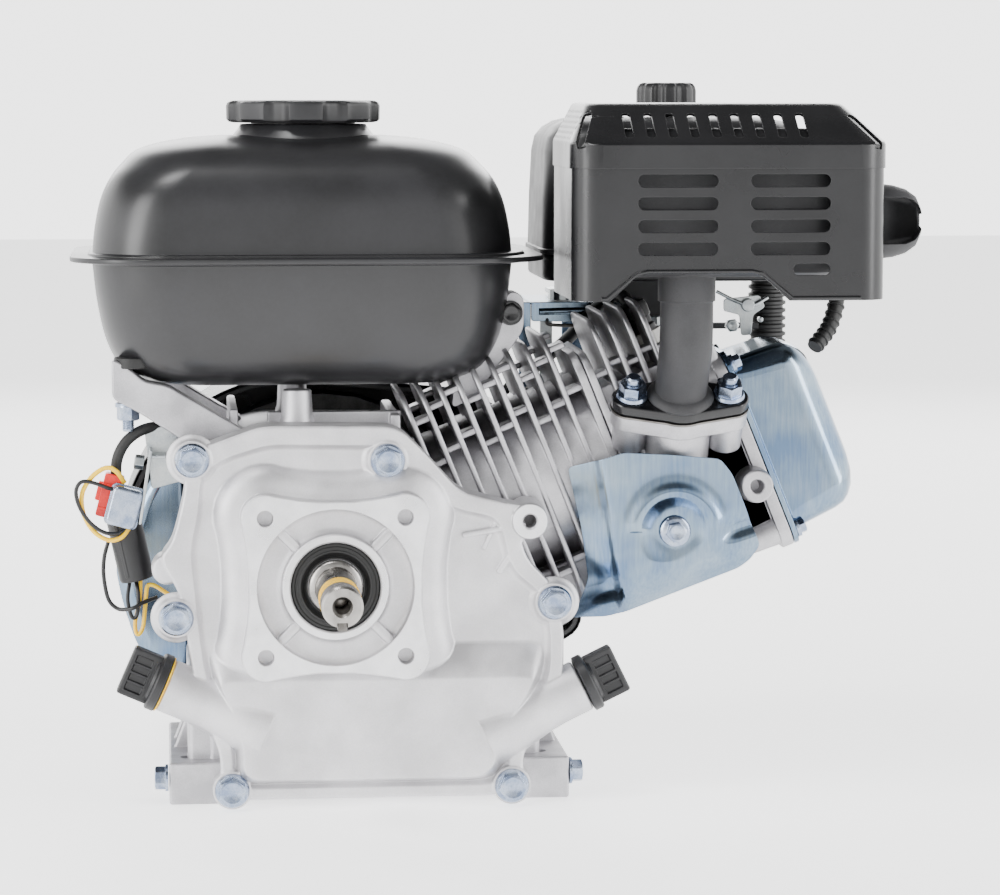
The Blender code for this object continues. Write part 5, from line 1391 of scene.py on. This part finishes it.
shell = lofted([(-SHELL_BACK, snail_outline(-4.4)), (0.5 - SHELL_BACK, snail_outline(-2.8)),
                (1.6 - SHELL_BACK, snail_outline(-1.1)), (3.4 - SHELL_BACK, snail_outline(-0.2)),
                (-SHELL_FRONT, snail_outline(-0.2))], FRONT)
hollow = plate(snail_outline(-SHELL_WALL - 0.4), SHELL_FRONT - 1, SHELL_BACK - SHELL_WALL)
window = cylinder(62, -140, -110, axis, 72)
shell = carved(shell, [hollow, window], 0.3)
lip = plate(snail_outline(-0.1), SHELL_FRONT, SHELL_FRONT + 2.4, 0.6)
lip = carved(lip, [plate(snail_outline(-4.2), SHELL_FRONT - 1, SHELL_FRONT + 4)], 0.2)
piece("fan_housing_shell", [shell, lip], guard_black, replaces=["blower_housing"])
SIDE_PLATE = [(-104, 98), (-101, 82), (-95, 62), (-88, 48), (-76, 40), (-64, 44), (-62, 70), (-64, 100),
              (-66, 150), (-78, 158), (-92, 132)]
levels = [(0.0, 0.0), (1.4, -0.8), (2.8, -2.4), (3.8, -4.6), (4.2, -7.0)]
side = lofted([(height - SHELL_FRONT, soften(offset(SIDE_PLATE, grow), 5, 5)) for height, grow in levels],
              FRONT)
piece("inner_side_plate", [side], blue_zinc)

# %% [markdown]
# ## Recoil starter
#
# The starter's cover is a drawn dish with a step for the reel, a rim that lies on the housing, and
# air slots between radial ribs. Three flange screws hold it. The handle sits in its guide at the
# upper left, and the reel is inside. The handle is a soft bar with a waist for the fingers.

# %% Model the recoil starter
dish = [(0, -180.4), (7, -180.6), (9, -180), (24, -180.6), (38, -180.4), (41, -179.4), (52, -177.2),
        (58, -175.8), (64, -170), (69, -161.5), (70, -158), (70, -140), (71.2, -137.4), (73, -136.2),
        (76, -135.8), (76, -132.4), (67.5, -132.4), (67.5, -157), (56, -173.6), (39, -178.2), (0, -178.4)]
cover = turned(dish, axis, 96)
cutters = []
for number in range(6):
    turn = axis @ Matrix.Rotation(math.radians(15 + 60 * number), 4, "Z")
    for share in range(5):
        slot = turn @ Matrix.Rotation(math.radians(8.6 * (share - 2)), 4, "Z")
        cutters.append(extruded(rounded((51, 0), 6.5, 1.8, 1.75, 6), -190, -150, slot))
way = aimed((0, 156, CRANK_Z), (-1, 0, 1))
cutters.append(cylinder(7.4, 50, 90, way, 40))
cover = carved(cover, cutters, 0.3)
collar = turned([(7.4, 62), (11.5, 62), (11.5, 69), (10.6, 70.4), (7.4, 70.4)], way, 40, closed=True)
spokes = [extruded([(30, -1.6), (43, -1.2), (43, 1.2), (30, 1.6)], -181, -178.8,
                   axis @ Matrix.Rotation(math.tau * n / 12, 4, "Z"), 0.5)
          for n in range(12)]
piece("recoil_cover_dish", [cover, collar, *spokes], guard_black, replaces=["recoil_cover"])
screws = []
for angle in (75, 195, 315):
    spot = Vector((73 * math.cos(math.radians(angle)), 0, 73 * math.sin(math.radians(angle)) + CRANK_Z))
    screws += flange_bolt(frame_of((spot.x, 132.4, spot.z), (1, 0, 0), (0, 1, 0)), 6.4, 4.6, 3.2, 8.6, 12)
piece("recoil_cover_screws", screws, bolt_zinc)


def grip_outline(half, width, waist):
    """A bar's outline with round ends and a slight waist."""
    return [(x, y * (1 - waist * math.cos(math.pi * x / (2 * half)) ** 2))
            for x, y in rounded((0, 0), half, width, width - 0.2, 12)]


levels = [(76, 31, 6.6), (77, 34.4, 8.2), (79, 35.8, 8.9), (83, 36, 9), (87, 35.8, 8.9), (89, 34.2, 8),
          (90, 30.5, 6.2)]
bar = lofted([(z, grip_outline(half, width, 0.12)) for z, half, width in levels], way)
neck = turned([(0, 70.8), (6.6, 70.8), (7, 71.6), (7.6, 75.4), (7.6, 78), (0, 78)], way, 32)
piece("starter_handle", [bar, neck], moulded_black, "recoil_handle_body",
      ["recoil_handle"])

# %% [markdown]
# ## Stop switch
#
# A round rocker switch on the back of the housing: a knurled ring, and a red rocker that turns.

# %% Model the stop switch
switch_axis = frame_of((108, 132.3, 92), (1, 0, 0), (0, 1, 0))
base = turned([(0, 0.2), (9.6, 0.2), (10, 0.8), (10, 9.4), (9.2, 10.6), (0, 10.6)], switch_axis, 48)
marks = [box((9.4, -0.35, 1.4), (10.2, 0.35, 8.6), 0.1, 1,
             switch_axis @ Matrix.Rotation(math.tau * n / 24, 4, "Z")) for n in range(24)]
rocker = extruded(rounded((0, 0), 2.6, 8, 1.4, 4), 10.2, 18.8, switch_axis, 0.8, 3)
base = carved(base, [box((-7, -6, 10), (7, 6, 12), 0, 1, switch_axis)], 0.2)
piece("stop_switch_ring", [base, *marks], moulded_black, "stop_switch_body",
      ["stop_switch"])
piece("stop_switch_rocker", [rocker], red_plastic, "stop_switch_body")

# %% [markdown]
# ## Finishes of the working frame
#
# The moving parts inside the engine keep the frame's own shapes, which are the real shapes, and
# only need a finish: ground and oiled steel for shafts and valve gear, cast metal for the piston
# and the carburettor, foam for the filter, and so on. Each name below is one node of the frame.

# %% Put finishes on the frame's own shapes
KEPT = {
    cast_dark: ("carburettor", "piston", "connecting_rod"),
    dark_steel: ("crankshaft_rear", "crankpin", "wrist_pin", "camshaft", "pto_bearing", "rear_bearing",
                 "starter_cup", "exhaust_valve", "intake_valve", "exhaust_rocker", "intake_rocker",
                 "exhaust_pushrod", "intake_pushrod"),
    linkage_zinc: ("throttle_arm", "governor_arm", "control_lever"),
    iron_grey: ("flywheel",),
    ceramic: ("spark_plug",),
    filter_foam: ("filter_element",),
    moulded_black: ("choke_lever", "fuel_valve_lever", "rope_reel", "ignition_coil"),
}
for finish_used, names in KEPT.items():
    for name in names:
        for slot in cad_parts[name].material_slots:
            slot.material = finish_used
print("frame shapes kept:", sum(len(names) for names in KEPT.values()))

# %% [markdown]
# ## The finished size
#
# The finished engine must stay within the frame's box, because machines are built round that box.
# The box of the finished engine is printed here, in millimetres.

# %% Print the finished box
low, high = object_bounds()
print("finished mm:", [round(v / MM, 1) for v in (*low, *high)])
